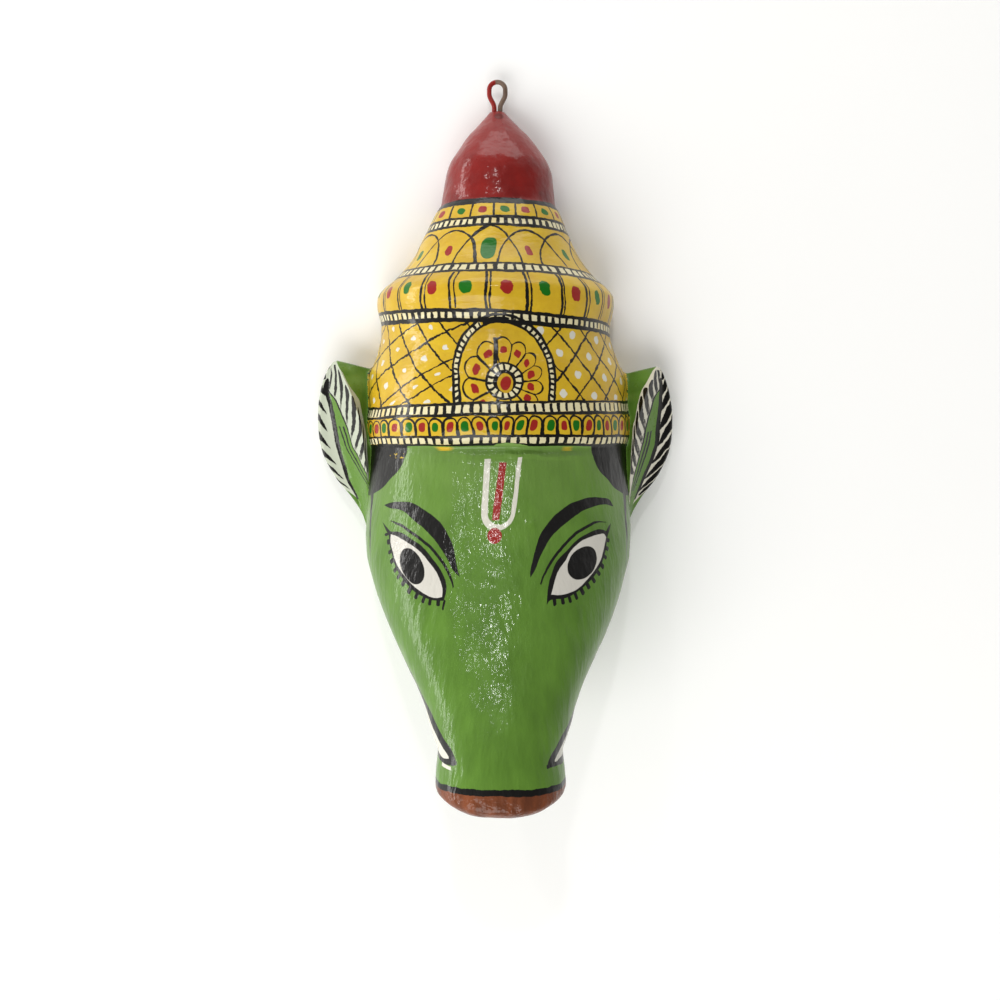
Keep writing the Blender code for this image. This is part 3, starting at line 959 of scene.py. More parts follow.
class Coat:
    """A painted surface being built up, one paint laid over another."""

    def __init__(self, name, ground):
        self.material = bpy.data.materials.new(name)
        self.material.use_nodes = True
        self.tree = self.material.node_tree
        self.shader = self.tree.nodes["Principled BSDF"]
        self.colour = ground
        self.relief = None

    def place(self, attribute):
        """The three numbers that the surface carries under that name."""
        node = new_node(self.tree, "ShaderNodeAttribute", attribute_name=attribute)
        return self.split(node.outputs["Vector"])

    def split(self, socket):
        """The three numbers of a vector or a colour."""
        node = new_node(self.tree, "ShaderNodeSeparateXYZ", {0: socket})
        return [Reading(self.tree, output) for output in node.outputs]

    def where(self):
        """The place on the object itself."""
        return self.tree.nodes.new("ShaderNodeTexCoord").outputs["Object"]

    def unevenness(self, size, detail=1.0, stretch=(1.0, 1.0, 1.0), seed=0.0):
        """Three wandering numbers from about -0.5 to 0.5 that change over the size, in millimetres."""
        scale = [1000 / (size * s) for s in stretch]
        start = [seed, seed * 1.7, seed * 0.6]
        stretched = {"Vector": self.where(), "Scale": scale, "Location": start}
        moved = new_node(self.tree, "ShaderNodeMapping", stretched).outputs["Vector"]
        cloud = new_node(self.tree, "ShaderNodeTexNoise", {"Vector": moved, "Scale": 1.0, "Detail": detail})
        return [2 * (reading - 0.5) for reading in self.split(cloud.outputs["Color"])]

    def mixed(self, first, second, share):
        """A paint between two, by a share that varies over the surface."""
        node = new_node(self.tree, "ShaderNodeMix", {0: share, 6: first, 7: second}, data_type="RGBA")
        return Reading(self.tree, node.outputs[2])

    def lay(self, colour, where):
        """Lays a paint over the rest, where the share is over 0."""
        self.colour = self.mixed(self.colour, colour, where)

    def raise_by(self, rise):
        """Adds to the fine relief of the dried paint, in millimetres."""
        self.relief = rise if self.relief is None else self.relief + rise

    def dry(self, roughness, gloss=0.36):
        """Joins paint, gloss and relief to the shader."""
        relief = {"Strength": 1.0, "Distance": 0.001, "Height": self.relief}
        bump = new_node(self.tree, "ShaderNodeBump", relief).outputs["Normal"]
        finish = {
            "Base Color": self.colour,
            "Roughness": roughness,
            "Coat Weight": gloss,
            "Coat Roughness": COAT_ROUGHNESS,
            "Specular IOR Level": PAINT_SHEEN,
            "Normal": bump,
            "Coat Normal": bump,
        }
        for name, value in finish.items():
            feed(self.tree, self.shader.inputs[name], value)
        return self.material


def paint(red, green, blue):
    """A paint's colour from how it looks on a screen, from 0 to 255."""
    def light(value):
        share = value / 255
        return share / 12.92 if share <= 0.04045 else ((share + 0.055) / 1.055) ** 2.4
    return tuple(light(value) for value in (red, green, blue))


YELLOW = paint(204, 170, 36)
YELLOW_DEEP = paint(186, 148, 30)
INK = paint(12, 11, 10)
CREAM = paint(212, 203, 164)
WHITE = paint(205, 203, 190)
EYE_WHITE = paint(196, 193, 184)
RED = paint(142, 30, 24)
LEAF_GREEN = paint(14, 98, 10)
FACE_GREEN = paint(88, 126, 44)
FACE_GREEN_DEEP = paint(70, 104, 32)
FACE_GREEN_PALE = paint(118, 150, 76)
DOME_RED = paint(128, 26, 22)
DOME_RED_DEEP = paint(96, 16, 14)
NOSE_BROWN = paint(122, 66, 38)
NOSE_BROWN_DEEP = paint(78, 42, 26)
BARE_PAPER = paint(168, 138, 100)
BARE_PAPER_DARK = paint(118, 92, 62)
WIRE_BARE = paint(118, 98, 84)
WIRE_DARK = paint(84, 66, 56)
EAR_WHITE_LEFT = paint(176, 182, 164)
EAR_WHITE_RIGHT = paint(212, 208, 192)
TABLE_PALE = paint(253, 253, 252)
TABLE_SHADE = paint(249, 249, 248)


# The crown's rows, as heights on the front line
CROWN_LINES = (
    (215.6, 213.2),
    (207.95, 206.9),
    (204.6, 203.6),
    (188.4, 187.7),
    (185.4, 184.5),
    (170.5, 169.3),
    (167.0, 165.5),
    (136.9, 136.0),
    (132.95, 131.9),
    (124.8, 124.0),
    (121.7, 120.2),
)
CHECK_ROWS = ((206.9, 204.6), (187.7, 185.4), (169.3, 167.0), (136.0, 132.95), (124.0, 121.7))
CHECK_TURNS = (
    (120, 3.85), (127, 3.85), (129, 3.6), (150, 3.6), (153, 3.9), (174, 3.9), (178, 5.0), (192, 5.0),
    (196, 6.0), (216, 6.0),
)
ROW_LEAN = (
    (120, 0.0), (125, -0.4), (137, -1.6), (150, 0.3), (166, 2.2), (172, 2.4), (186, 0.9), (196, 0.3),
    (216, 0.0),
)
ARCH_MARKS = (-92, -61, -32, -5.2, 21, 50.6, 80)
TOP_CELL_MARKS = (-80, -56, -32.3, -13.3, 6.5, 24.3, 43.8, 63, 84)
ROLL_MARKS = (-82, -66, -51, -35.5, -20, -3.6, 14.7, 32.4, 47, 60, 76)
ROLL_DOTS = (-75, -61, -45, -31, -13.7, 4.7, 22, 40, 54, 68)
LOBE_MARKS = (
    -61.5, -54.4, -47.2, -39.5, -31.6, -25.4, -18.7, -13.4, -8.2, -2.4, 2.6, 8.4, 13.6, 20.0, 26.3, 31.3, 38.0,
    43.8, 50.0, 56.3,
)
PETAL_MARKS = (-172, -135, -98, -61, -27, 0, 23, 46, 71, 98, 125, 152)


def crown_paint():
    """Yellow enamel with its rows of checks, arches, drops, lattice, medallion and lobes."""
    coat = Coat("crown_enamel", YELLOW)
    turn, height, run = coat.place("wrap")
    _, _, girth = coat.place("flank")
    slow_a, slow_b, slow_c = coat.unevenness(14.0)
    quick_a, quick_b, quick_c = coat.unevenness(2.2, detail=2.0, seed=3.0)
    level = height + height.along(ROW_LEAN) * turn * (1 / 80) + slow_a * 0.55 + quick_a * 0.16
    bearing = turn + slow_b * 2.2 + quick_b * 0.25
    across = run + slow_b * 0.8 + quick_b * 0.2

    shade = coat.mixed(YELLOW, YELLOW_DEEP, (slow_c + quick_c * 0.4 + 0.45).share())
    coat.colour = shade

    # Top cells: a dot in each, red and green in turn
    number, beside = cells(bearing, TOP_CELL_MARKS)
    wide = beside * girth * 19.5
    top_row = band(level, 207.9, 213.2)
    top_dot = blot(wide + quick_c, level - 210.6 + wide * 0.12, 3.4, 2.7)
    coat.lay(coat.mixed(LEAF_GREEN, RED, odd(number)), inside(most(top_dot, top_row)))
    ink = most((abs(beside) - 0.5) * girth * -19.5 - 0.36, top_row)

    # Arches that cross each other, with a dot under each
    number, beside = cells(bearing, ARCH_MARKS)
    arch_row = band(level, 188.4, 203.6)
    arch_rise = (level - 188.2) * 0.93
    middle_arch = inside(abs(number - 3.0) - 0.5, 0.1)
    bold = inside(band(bearing, -18, -8), 3.0) * 0.3
    for shift in (0.0, -1.0):
        over = beside if shift == 0 else beside + beside.step("SIGN") * shift
        point = middle_arch * 2.2 if shift == 0 else 0.0
        arch = abs(length_of(abs(over) * 17.0 + point, arch_rise) - 13.0 - point * 0.75) - 0.33 - bold
        ink = least(ink, most(arch, arch_row))
    drop = blot(beside * 17.5 + quick_c * 0.6, level - 193.9 + beside * 1.5, 3.1, 4.0)
    pear_side = (beside * 17.5 - 0.2) * (2.1 + (194.4 - level) * 0.1)
    pear = blot(pear_side, (level - 194.4) * 1.6, 13.0, 14.4) * 0.45
    green_dot = odd(number)
    coat.lay(coat.mixed(RED, LEAF_GREEN, green_dot), inside(drop) * (1.0 - middle_arch))
    coat.lay(LEAF_GREEN, inside(pear) * middle_arch)

    # The roll: pairs of upright strokes between dots
    number, beside = cells(bearing, ROLL_MARKS)
    roll_row = band(level, 170.5, 184.5)
    away = beside * girth * 16.5
    gap = number.chance(4.0) * 0.7 + 0.55
    pair = least(abs(away + gap) - 0.5, abs(away - gap) - 0.3)
    ink = least(ink, most(pair, roll_row))
    number, beside = cells(bearing, ROLL_DOTS)
    dot_level = level - 177.9 - number.chance(2.0) * 1.2 + quick_b * 0.5
    dot = blot(beside * girth * 16.5 + quick_c * 0.8, dot_level, 4.2, 5.0)
    coat.lay(coat.mixed(LEAF_GREEN, RED, odd(number)), inside(dot))

    # Lattice to the left and right of the medallion, with a white dot in each of its diamonds
    right = turn.over(0.0)
    left_fall = (across + (level - 152) * (across * 0.017 + 1.34).step("MAXIMUM", 0.45) + 21.0) * (1 / 12.6)
    left_rise = (level - (across + 33) * 0.42).along(
        [(mark, i) for i, mark in enumerate((121, 130, 139.8, 145.4, 156, 164.8, 174, 183))], straight=True
    )
    right_fall = (across + (level - 152) * 0.9 - 33.5) * (1 / 13.3)
    right_rise = (across - (level - 152) * 0.85 - 28.3) * (1 / 14.6)
    fall = left_fall + (right_fall - left_fall) * right + quick_b * 0.07
    rise = left_rise + (right_rise - left_rise) * right + quick_a * 0.07
    lattice = least(abs(fall.beside()) * 9.0, abs(rise.beside()) * 9.4) - 0.32 - slow_c * 0.2
    fall_mid = fall - fall.step("FLOOR") - 0.5
    rise_mid = rise - rise.step("FLOOR") - 0.5
    pearl = length_of(fall_mid * 9.0 + quick_c * 0.5, rise_mid * 9.4) - 0.95 - right * 0.35
    lattice_row = band(level, 136.9, 165.6)
    ring_up = level - 146.9
    ring_up = most(ring_up * 0.87, ring_up * 0.4)
    ring_away = length_of(across - 2.4, ring_up)
    lattice_row = most(lattice_row, (ring_away - 19.2) * -1.0)
    coat.lay(WHITE, inside(most(pearl, lattice_row + 0.3)))
    ink = least(ink, most(lattice, lattice_row))

    # The medallion's ring of checks
    over_base = band(level, 136.4, 169.6)
    from_middle = across - 2.4
    bearing_at = from_middle.step("ARCTAN2", level - 146.9) * (180 / math.pi)
    ring_cell = bearing_at * (1 / 6.4) + quick_b * 0.2
    ring_bar = (abs(ring_cell.beside()) * 6.4 * 0.31) - 0.36
    ring_checks = most(abs(ring_away - 17.8) - 0.75, over_base, band(bearing_at, -24.0, 7.0) * -0.3)
    coat.lay(CREAM, inside(ring_checks))
    ring_lines = least(abs(ring_away - 18.95) - 0.45, abs(ring_away - 16.75) - 0.36)
    ring_top = most(abs(ring_away - 17.3) - 1.0, band(bearing_at, -22.0, 7.0) * 0.3)
    ink = least(ink, most(least(ring_lines, ring_top, most(ring_bar, ring_checks)), over_base))

    # The flower inside it: petals round a ring of checks and an oval eye
    flower_up = level - 143.3
    flower_away = length_of(across - 2.6, flower_up)
    flower_at = (across - 2.6).step("ARCTAN2", flower_up) * (180 / math.pi)
    number, beside = cells(flower_at, PETAL_MARKS)
    petal_ends = ((-180, 15.2), (-98, 15.4), (-60, 16.0), (0, 17.2), (50, 15.6), (98, 14.0), (180, 14.0))
    reach = flower_at.along(petal_ends)
    petal_edge = reach - beside * beside * 9.5
    petal_line = least(
        abs(flower_away - petal_edge) - 0.3,
        most((abs(beside) - 0.5) * flower_away * -0.44 - 0.28, flower_away - petal_edge),
    )
    petal_side = beside * flower_away * 0.5 + quick_c * 0.8
    petal_dot = blot(petal_side, flower_away - reach + 4.4 + quick_b * 0.6, 3.1, 2.7)
    coat.lay(RED, inside(most(petal_dot, over_base + 0.4)))
    stroke = most(abs(across + 0.4 - (level - 155) * 0.04) - 0.75 - slow_c * 0.3, band(level, 150.0, 160.2))
    ink = least(ink, most(least(petal_line, stroke), over_base))
    eye_up = level - 144.2
    eye_away = length_of(across - 2.6, eye_up)
    eye_at = (across - 2.6).step("ARCTAN2", eye_up) * (180 / math.pi)
    eye_cell = eye_at * (1 / 24.0) + quick_b * 0.25
    eye_bar = abs(eye_cell.beside()) * 24 * 0.087 - 0.42
    eye = eye_away - 7.0 + quick_c * 0.3
    eye_checks = most(abs(eye_away - 5.2 + quick_c * 0.4) - 0.95, eye_bar * -1.0)
    eye_middle = oval(across - 2.8, level - 143.5, 5.8, 7.4)
    eye_dot = oval(across - 3.0 - (level - 143.5) * 0.15, level - 143.5, 3.9, 5.3)

    # Lobes along the crown's edge
    number, beside = cells(bearing, LOBE_MARKS)
    lobe_row = band(level, 124.8, 131.9)
    lobe_side = beside * girth * 5.9
    lobe_top = (level - 128.9).positive()
    lobe = abs(length_of(lobe_side, lobe_top) - 2.5) - 0.32
    ink = least(ink, most(lobe, lobe_row))
    size = number.chance(1.0) * 0.7
    leaning = lobe_side - number.chance(5.0) * 0.6 + 0.3 - (level - 128) * 0.12
    lobe_dot = blot(leaning, level - 128.1, 2.6, 3.6) - size * 0.5 + 0.15
    coat.lay(coat.mixed(RED, LEAF_GREEN, odd(number)), inside(most(lobe_dot, lobe_row)))

    # Rows of checks and the lines along the rows
    checks = least(*[band(level, low, high) for low, high in CHECK_ROWS])
    wide_turn = height.along(CHECK_TURNS, straight=True)
    count = turn / wide_turn + slow_b * 0.35 + quick_b * 0.12
    number = count.nearest()
    bar = abs(count - number) * wide_turn * girth - 0.4 - number.chance(7.0) * 0.36
    paler = (count.step("FLOOR").chance(3.0) - 0.72).share(3.0)
    coat.lay(coat.mixed(CREAM, YELLOW, paler * 0.6), inside(checks))
    lines = least(*[band(level, low, high) for low, high in CROWN_LINES])
    ink = least(ink, most(bar, checks), lines)
    ink = ink + quick_c * 0.34 + slow_c * 0.2 - 0.06
    coat.lay(INK, inside(ink))
    coat.lay(INK, inside(eye))
    coat.lay(CREAM, inside(eye_checks))
    coat.lay(YELLOW_DEEP, inside(eye_middle))
    coat.lay(RED, inside(eye_dot))
    spilt = oval(across - 4.0, level - 120.3 + slow_a * 1.2, 13.0, 2.6) + quick_a * 0.4
    coat.lay(FACE_GREEN_PALE, inside(spilt))

    strokes, _, grain = coat.unevenness(5.0, detail=3.0, stretch=(1.0, 0.5, 1.0), seed=9.0)
    coat.raise_by(strokes * 0.16 + grain * 0.05 + inside(ink, 0.5) * 0.02)
    return coat.dry(quick_a * 0.08 + 0.34)


# Painted outlines of the face, as (run from the front line, height); the right side's are mirrored
LEFT_BROW = (
    ((-48.1, 99.1), (-13.9, 75.4)),
    ((-48.1, 99.1), (-43.7, 100.2), (-38.2, 100.6), (-32.5, 100.1), (-28.0, 98.2), (-23.9, 95.9),
     (-20.7, 93.2), (-18.3, 89.7), (-16.4, 85.7), (-15.4, 81.6), (-14.6, 77.6), (-13.9, 75.4)),
    ((-48.1, 99.1), (-44.7, 98.2), (-40.2, 97.9), (-36.0, 96.6), (-32.2, 94.2), (-27.8, 91.6),
     (-23.6, 87.9), (-20.5, 84.2), (-18.2, 80.8), (-16.3, 77.5), (-13.9, 75.4)),
)
RIGHT_BROW = (
    ((-48.4, 98.6), (-11.0, 75.0)),
    ((-48.4, 98.7), (-46.2, 100.9), (-41.5, 102.0), (-36.3, 102.3), (-30.7, 101.4), (-25.6, 99.7),
     (-20.8, 96.6), (-16.9, 92.5), (-14.6, 89.1), (-13.1, 85.0), (-12.0, 81.0), (-10.9, 77.0),
     (-11.0, 75.0)),
    ((-48.4, 98.5), (-42.5, 99.5), (-36.1, 98.7), (-30.6, 97.1), (-26.2, 94.4), (-22.2, 91.7),
     (-19.1, 89.0), (-16.8, 85.6), (-14.5, 81.6), (-12.7, 77.6), (-11.0, 75.0)),
)
LEFT_EYE = {
    "line": ((-44.0, 88.6), (-20.9, 68.0)),
    "top": ((-49.0, 93.1), (-46.0, 91.3), (-43.7, 90.0), (-39.8, 89.9), (-36.2, 89.0), (-32.2, 87.2),
            (-28.8, 85.5), (-26.2, 83.4), (-23.9, 81.1), (-21.8, 78.8), (-20.0, 75.9), (-19.0, 73.6),
            (-18.7, 71.2), (-18.9, 69.4), (-19.7, 67.3)),
    "white_top": ((-43.4, 88.8), (-40.5, 88.3), (-37.7, 87.4), (-34.6, 86.2), (-31.8, 84.9),
                  (-29.4, 83.5), (-27.1, 81.7), (-24.8, 79.4), (-22.6, 76.8), (-21.4, 74.7),
                  (-20.5, 72.4), (-20.1, 70.6), (-20.2, 68.6)),
    "white_foot": ((-43.4, 88.8), (-43.2, 85.8), (-41.4, 81.8), (-39.7, 78.8), (-37.3, 76.1),
                   (-35.1, 74.1), (-32.2, 72.0), (-29.5, 70.3), (-26.6, 69.0), (-24.1, 68.2),
                   (-22.2, 68.1), (-20.2, 68.6)),
    "foot": ((-49.0, 93.1), (-46.6, 90.3), (-44.6, 88.5), (-43.9, 85.5), (-42.4, 82.0), (-40.7, 78.6),
             (-38.5, 75.4), (-36.1, 73.1), (-33.3, 71.0), (-30.9, 69.5), (-27.9, 68.3), (-25.3, 67.5),
             (-22.8, 67.2), (-19.7, 67.3)),
    "pupil": ((-32.6, 78.3), (13.6, 9.2)),
    "pupil_turn": 128.0,
    "lashes": (-1.0, 1.6, 4.8, 7.7, 10.9, 13.4, 16.4, 20.0, 23.4, 26.3, 28.5, 31.0, 32.8),
    "crease": ((-44.0, 93.8), (-41.3, 93.1), (-37.5, 91.9), (-34.1, 90.3), (-30.6, 88.6), (-27.2, 86.5),
               (-24.3, 84.5), (-21.9, 82.1), (-19.4, 79.0), (-17.9, 76.4), (-16.7, 73.8), (-16.1, 71.8)),
}
RIGHT_EYE = {
    "line": ((-43.6, 88.6), (-18.0, 68.5)),
    "top": ((-46.0, 92.6), (-44.4, 91.3), (-43.3, 90.1), (-41.0, 90.5), (-37.6, 90.6), (-34.4, 89.8),
            (-30.9, 88.5), (-28.0, 86.7), (-25.3, 84.3), (-22.6, 82.1), (-20.4, 79.6), (-19.1, 77.0),
            (-18.1, 74.5), (-17.3, 71.3), (-16.9, 68.8), (-16.7, 65.9)),
    "white_top": ((-42.9, 87.6), (-41.9, 88.8), (-38.9, 88.9), (-36.1, 88.6), (-32.5, 87.7),
                  (-30.0, 86.5), (-27.6, 84.8), (-25.6, 82.6), (-24.2, 80.4), (-22.5, 78.5),
                  (-20.9, 76.3), (-19.9, 73.8), (-19.0, 71.3), (-18.4, 69.4)),
    "white_foot": ((-42.9, 87.6), (-42.2, 85.5), (-41.1, 82.9), (-40.0, 80.6), (-38.0, 78.0),
                   (-35.7, 75.8), (-33.5, 73.8), (-31.0, 71.8), (-28.5, 70.4), (-25.0, 69.5),
                   (-21.3, 69.1), (-18.4, 69.4)),
    "foot": ((-46.0, 92.6), (-45.2, 90.4), (-43.9, 88.3), (-43.3, 85.7), (-42.4, 82.8), (-41.0, 80.2),
             (-39.9, 78.3), (-38.5, 76.7), (-36.6, 74.8), (-34.4, 73.0), (-32.2, 71.5), (-30.1, 70.3),
             (-27.7, 69.2), (-25.0, 68.3), (-22.4, 67.8), (-19.5, 67.8), (-17.7, 67.3), (-16.7, 65.9)),
    "pupil": ((-31.3, 79.4), (13.7, 10.4)),
    "pupil_turn": 146.0,
    "lashes": (1.3, 3.5, 6.1, 9.3, 12.2, 15.6, 18.5, 21.5, 24.4, 26.9, 29.3, 31.8),
    "crease": ((-43.3, 93.0), (-37.7, 93.3), (-35.4, 92.6), (-31.9, 91.3), (-28.1, 89.4), (-24.2, 86.1),
               (-21.2, 83.1), (-18.6, 79.9), (-16.1, 76.1), (-14.6, 72.7)),
}
HAIR_EDGE = (
    (102.0, 63.0), (102.7, 58.4), (103.6, 55.0), (105.4, 49.6), (108.7, 45.0), (112.1, 40.3), (116.1, 37.8),
    (119.8, 36.5), (122.0, 36.5),
)
# Each side's mouth: the upper and lower edges of the black, and of the white tusk in it
LEFT_MOUTH = (
    ((16.2, 15.6), (16.9, 17.4), (18.2, 19.2), (21.2, 21.3), (24.0, 24.2), (30.0, 29.5), (37.0, 36.0),
     (45.0, 44.0)),
    ((16.2, 15.4), (17.4, 14.7), (19.7, 14.4), (23.8, 14.0), (30.0, 14.2), (37.0, 17.4), (43.0, 25.0),
     (46.0, 36.0)),
    ((19.0, 16.5), (20.2, 17.3), (23.8, 19.5), (26.9, 22.2), (33.0, 27.5), (40.0, 34.5), (44.0, 41.0)),
    ((19.0, 16.1), (21.1, 15.6), (24.3, 15.1), (30.0, 15.6), (37.0, 19.0), (42.0, 27.0), (44.0, 36.0)),
)
RIGHT_MOUTH = (
    ((17.2, 14.4), (18.6, 16.5), (21.7, 19.5), (25.5, 22.8), (30.6, 26.4), (36.0, 30.5), (45.0, 38.5)),
    ((17.2, 14.0), (20.4, 13.7), (24.0, 13.1), (28.6, 12.6), (33.0, 13.1), (39.0, 16.4), (43.5, 24.0),
     (46.0, 34.0)),
    ((20.8, 14.8), (22.5, 16.0), (25.0, 18.0), (28.7, 21.0), (34.0, 25.4), (40.0, 30.4), (44.0, 36.0)),
    ((20.8, 14.4), (22.5, 14.3), (26.2, 14.4), (32.0, 14.9), (38.0, 18.0), (42.0, 25.0), (44.0, 33.0)),
)


def turned_place(x, y, line):
    """A place as lengths along and across the line between two points."""
    (x0, y0), (x1, y1) = line
    long = math.hypot(x1 - x0, y1 - y0)
    c, s = (x1 - x0) / long, (y1 - y0) / long
    return (x - x0) * c + (y - y0) * s, (y - y0) * c - (x - x0) * s


def turned(points, line):
    """The same of several points."""
    return [turned_place(x, y, line) for x, y in points]


def between(along, across, top, foot):
    """How far outside the shape between a top and a foot outline a place is."""
    gap = most(across - along.along(top), along.along(foot) - across)
    return most(gap * 0.85, band(along, top[0][0], top[-1][0]))


def brow(x, y, outline):
    """How far outside a brow a place is."""
    line, top, foot = outline
    along, across = turned_place(x, y, line)
    return between(along, across, turned(top, line), turned(foot, line))


def eye(coat, x, y, side, parts):
    """Paints an eye: black lids, white ball, pupil, lashes along its foot and a crease over it."""
    line = parts["line"]
    along, across = turned_place(x, y, line)
    foot_points = turned(parts["foot"], line)
    lids = between(along, across, turned(parts["top"], line), foot_points)
    ball = between(along, across, turned(parts["white_top"], line), turned(parts["white_foot"], line))
    foot = along.along(foot_points)
    under = foot - across
    fan = along - under * (along * 0.03 - 0.5)
    number, beside = cells(fan, parts["lashes"])
    past = (under - 1.1 - along * 0.024).positive()
    lash = length_of(beside * 2.9, past) - 0.6 - number.chance(1.0) * 0.14
    lashes = most(lash, under * -1.0 - 0.6, band(fan, parts["lashes"][0] - 1.0, parts["lashes"][-1] + 1.0))
    crease_points = turned(parts["crease"], line)
    crease_half = along.along(
        tuple((crease_points[k][0], half) for k, half in ((0, 0.15), (2, 0.55), (-3, 0.5), (-1, 0.3)))
    )
    crease = (abs(across - along.along(crease_points)) - crease_half) * 0.85
    crease = most(crease, band(along, crease_points[0][0], crease_points[-1][0]))
    coat.lay(INK, inside(least(lids, lashes, crease)) * side)
    coat.lay(EYE_WHITE, inside(ball) * side)
    (px, py), (wide, high) = parts["pupil"]
    turn = math.radians(parts["pupil_turn"])
    c, s = math.cos(turn), math.sin(turn)
    out, up = (x - px) * c + (y - py) * s, (y - py) * c - (x - px) * s
    coat.lay(INK, inside(most(oval(out, up, wide, high), ball)) * side)


def face_paint():
    """Leaf-green enamel with hair, brows, eyes, forehead mark, mouth, and the brown nose pad."""
    coat = Coat("face_enamel", FACE_GREEN)
    turn, height, run = coat.place("wrap")
    _, flank, _ = coat.place("flank")
    slow_a, slow_b, slow_c = coat.unevenness(16.0, seed=2.0)
    quick_a, quick_b, quick_c = coat.unevenness(2.6, detail=2.0, seed=4.0)
    brush_a, brush_b, brush_c = coat.unevenness(3.4, detail=3.0, stretch=(1.0, 4.5, 1.0), seed=6.0)
    x = run + slow_b * 0.35 + quick_b * 0.16
    y = height + slow_a * 0.35 + quick_a * 0.16
    out = flank + slow_b * 0.5 + quick_b * 0.2

    # The darker patches are random unevenness of the paint; the green made paler from eye level up to the
    # crown is painted sheen of light from above on the forehead.
    deep = (slow_c * 0.7 + brush_a * 0.55 + 0.35).share()
    pale = ((height - 84.0) * (1 / 40) + slow_b * 0.4 + brush_b * 0.25).share(0.55)
    coat.colour = coat.mixed(coat.mixed(FACE_GREEN, FACE_GREEN_DEEP, deep), FACE_GREEN_PALE, pale)

    # Yellow that shows under the crown's black edge, and hair in front of the ears
    peeks = most(band(height, 119.2, 120.6), band(flank, 14, 37), (slow_a + 0.05) * -1.0)
    coat.lay(YELLOW, inside(peeks))
    hair = most(height.along(HAIR_EDGE) - out, 102.0 - height)
    tail = abs(flank - 59.6) - (height - 74.0).positive() * 0.062 + brush_c * 1.4
    tail = most(tail, height - 104.0, 76.0 - height)
    coat.lay(INK, inside(least(hair * 0.8, tail * 0.5), 0.35))
    flecks = most(band(height, 116.4, 118.2), band(run, -46, -38), 0.16 - quick_c)
    coat.lay(YELLOW, inside(flecks))

    # Brows and eyes
    left, right = 1.0 - turn.over(0.0), turn.over(0.0)
    mirrored = x * -1.0
    coat.lay(INK, inside(brow(x, y, LEFT_BROW)) * left)
    coat.lay(INK, inside(brow(mirrored, y, RIGHT_BROW)) * right)
    eye(coat, x, y, left, LEFT_EYE)
    eye(coat, mirrored, y, right, RIGHT_EYE)

    # The forehead's mark: a white loop, a red stroke and a dot
    above = y - 97.5
    bow = length_of(x + 0.1 - above * 0.089, least(above, above * 0.0) * 0.93)
    arms = bow - 5.1 - above.positive() * 0.04
    wide = 0.82 + inside(x, 3.0) * 0.3
    loop = most(abs(arms) - wide + brush_a * 0.2, y - 116.6 - x * 0.04)
    coat.lay(WHITE, inside(loop))
    stroke = most(abs(x + 1.3 - (y - 94.7) * 0.126) - 1.3 + brush_a * 0.25, band(y, 94.6, 115.2))
    spot = oval(x + 1.5, y - 89.3, 5.0, 5.4)
    coat.lay(RED, inside(least(stroke, spot)))

    # Mouth and tusk on the snout's flanks
    for here, (top, foot, white_top, white_foot) in ((left, LEFT_MOUTH), (right, RIGHT_MOUTH)):
        black = most(y - out.along(top), out.along(foot) - y, band(out, top[0][0], foot[-1][0]))
        black = black + quick_c * 0.3 - 0.4
        ends = band(out, white_top[0][0] + 0.6, white_top[-1][0])
        tusk = most(y - out.along(white_top), out.along(white_foot) - y, ends) + quick_b * 0.3 + 0.2
        coat.lay(INK, inside(black) * here)
        coat.lay(WHITE, inside(tusk) * here)
    under_lip = most(abs(y - 13.1) - 0.6, band(out, 18.6, 24.5))
    coat.lay(WHITE, inside(under_lip) * left)

    # The nose pad under its black line, with a nostril painted at each side of its end
    near = flank.step("MINIMUM", 24.0)
    line = y - 8.15 + near * near * 0.0046
    coat.lay(coat.mixed(NOSE_BROWN, NOSE_BROWN_DEEP, (brush_c + slow_a * 0.6 + 0.4).share()), inside(line))
    coat.lay(INK, inside(abs(line) - 1.0 + quick_c * 0.5))
    wrinkles = inside(line + 1.5, 2.0) * (quick_b * 0.3 + slow_c * 0.5)
    object_x, _, object_z = coat.split(coat.where())
    up = object_z * 1000 - 78.0
    nostril = oval((abs(object_x) * 1000 - 8.6) * 0.94 + up * 0.2, up, 5.4, 9.0)
    coat.lay(INK, inside(most(nostril + quick_a * 0.3, height - 1.6)))

    ridge = inside(band(height + slow_b * 2.4, 116.6, 118.4), 1.6) * inside(band(run, -4, 30), 9.0)
    coat.raise_by(ridge * (brush_b * 0.5 + 0.35) + wrinkles)
    fine, _, _ = coat.unevenness(1.5, detail=2.0, stretch=(1.0, 6.0, 1.0), seed=9.0)
    coat.raise_by(brush_a * 0.2 + fine * 0.07 + quick_b * 0.06 + slow_c * 0.1)
    return coat.dry(brush_b * 0.1 + 0.36)


def dome_paint():
    """Thick red enamel, darker towards its foot."""
    coat = Coat("dome_enamel", DOME_RED)
    _, height, run = coat.place("wrap")
    slow_a, slow_b, slow_c = coat.unevenness(11.0, detail=2.0, seed=1.0)
    quick_a, quick_b, _ = coat.unevenness(2.4, detail=2.0, seed=5.0)
    deep = ((226.0 - height) * 0.03 + slow_a * 0.9 + 0.25).share()
    coat.colour = coat.mixed(DOME_RED, DOME_RED_DEEP, deep)
    coat.lay(INK, inside(band(height + slow_b * 0.7 + quick_a * 0.2, 212.0, 215.5)))
    drip = oval(run - 18.5, height - 218.6, 2.4, 2.0)
    root = oval(run - 0.6, height - 251.2, 3.8, 3.4)
    coat.lay(DOME_RED_DEEP, inside(least(drip, root) + quick_b * 0.3, 0.5))
    coat.raise_by(slow_c * 0.5 + quick_a * 0.1)
    return coat.dry(quick_b * 0.1 + 0.32)


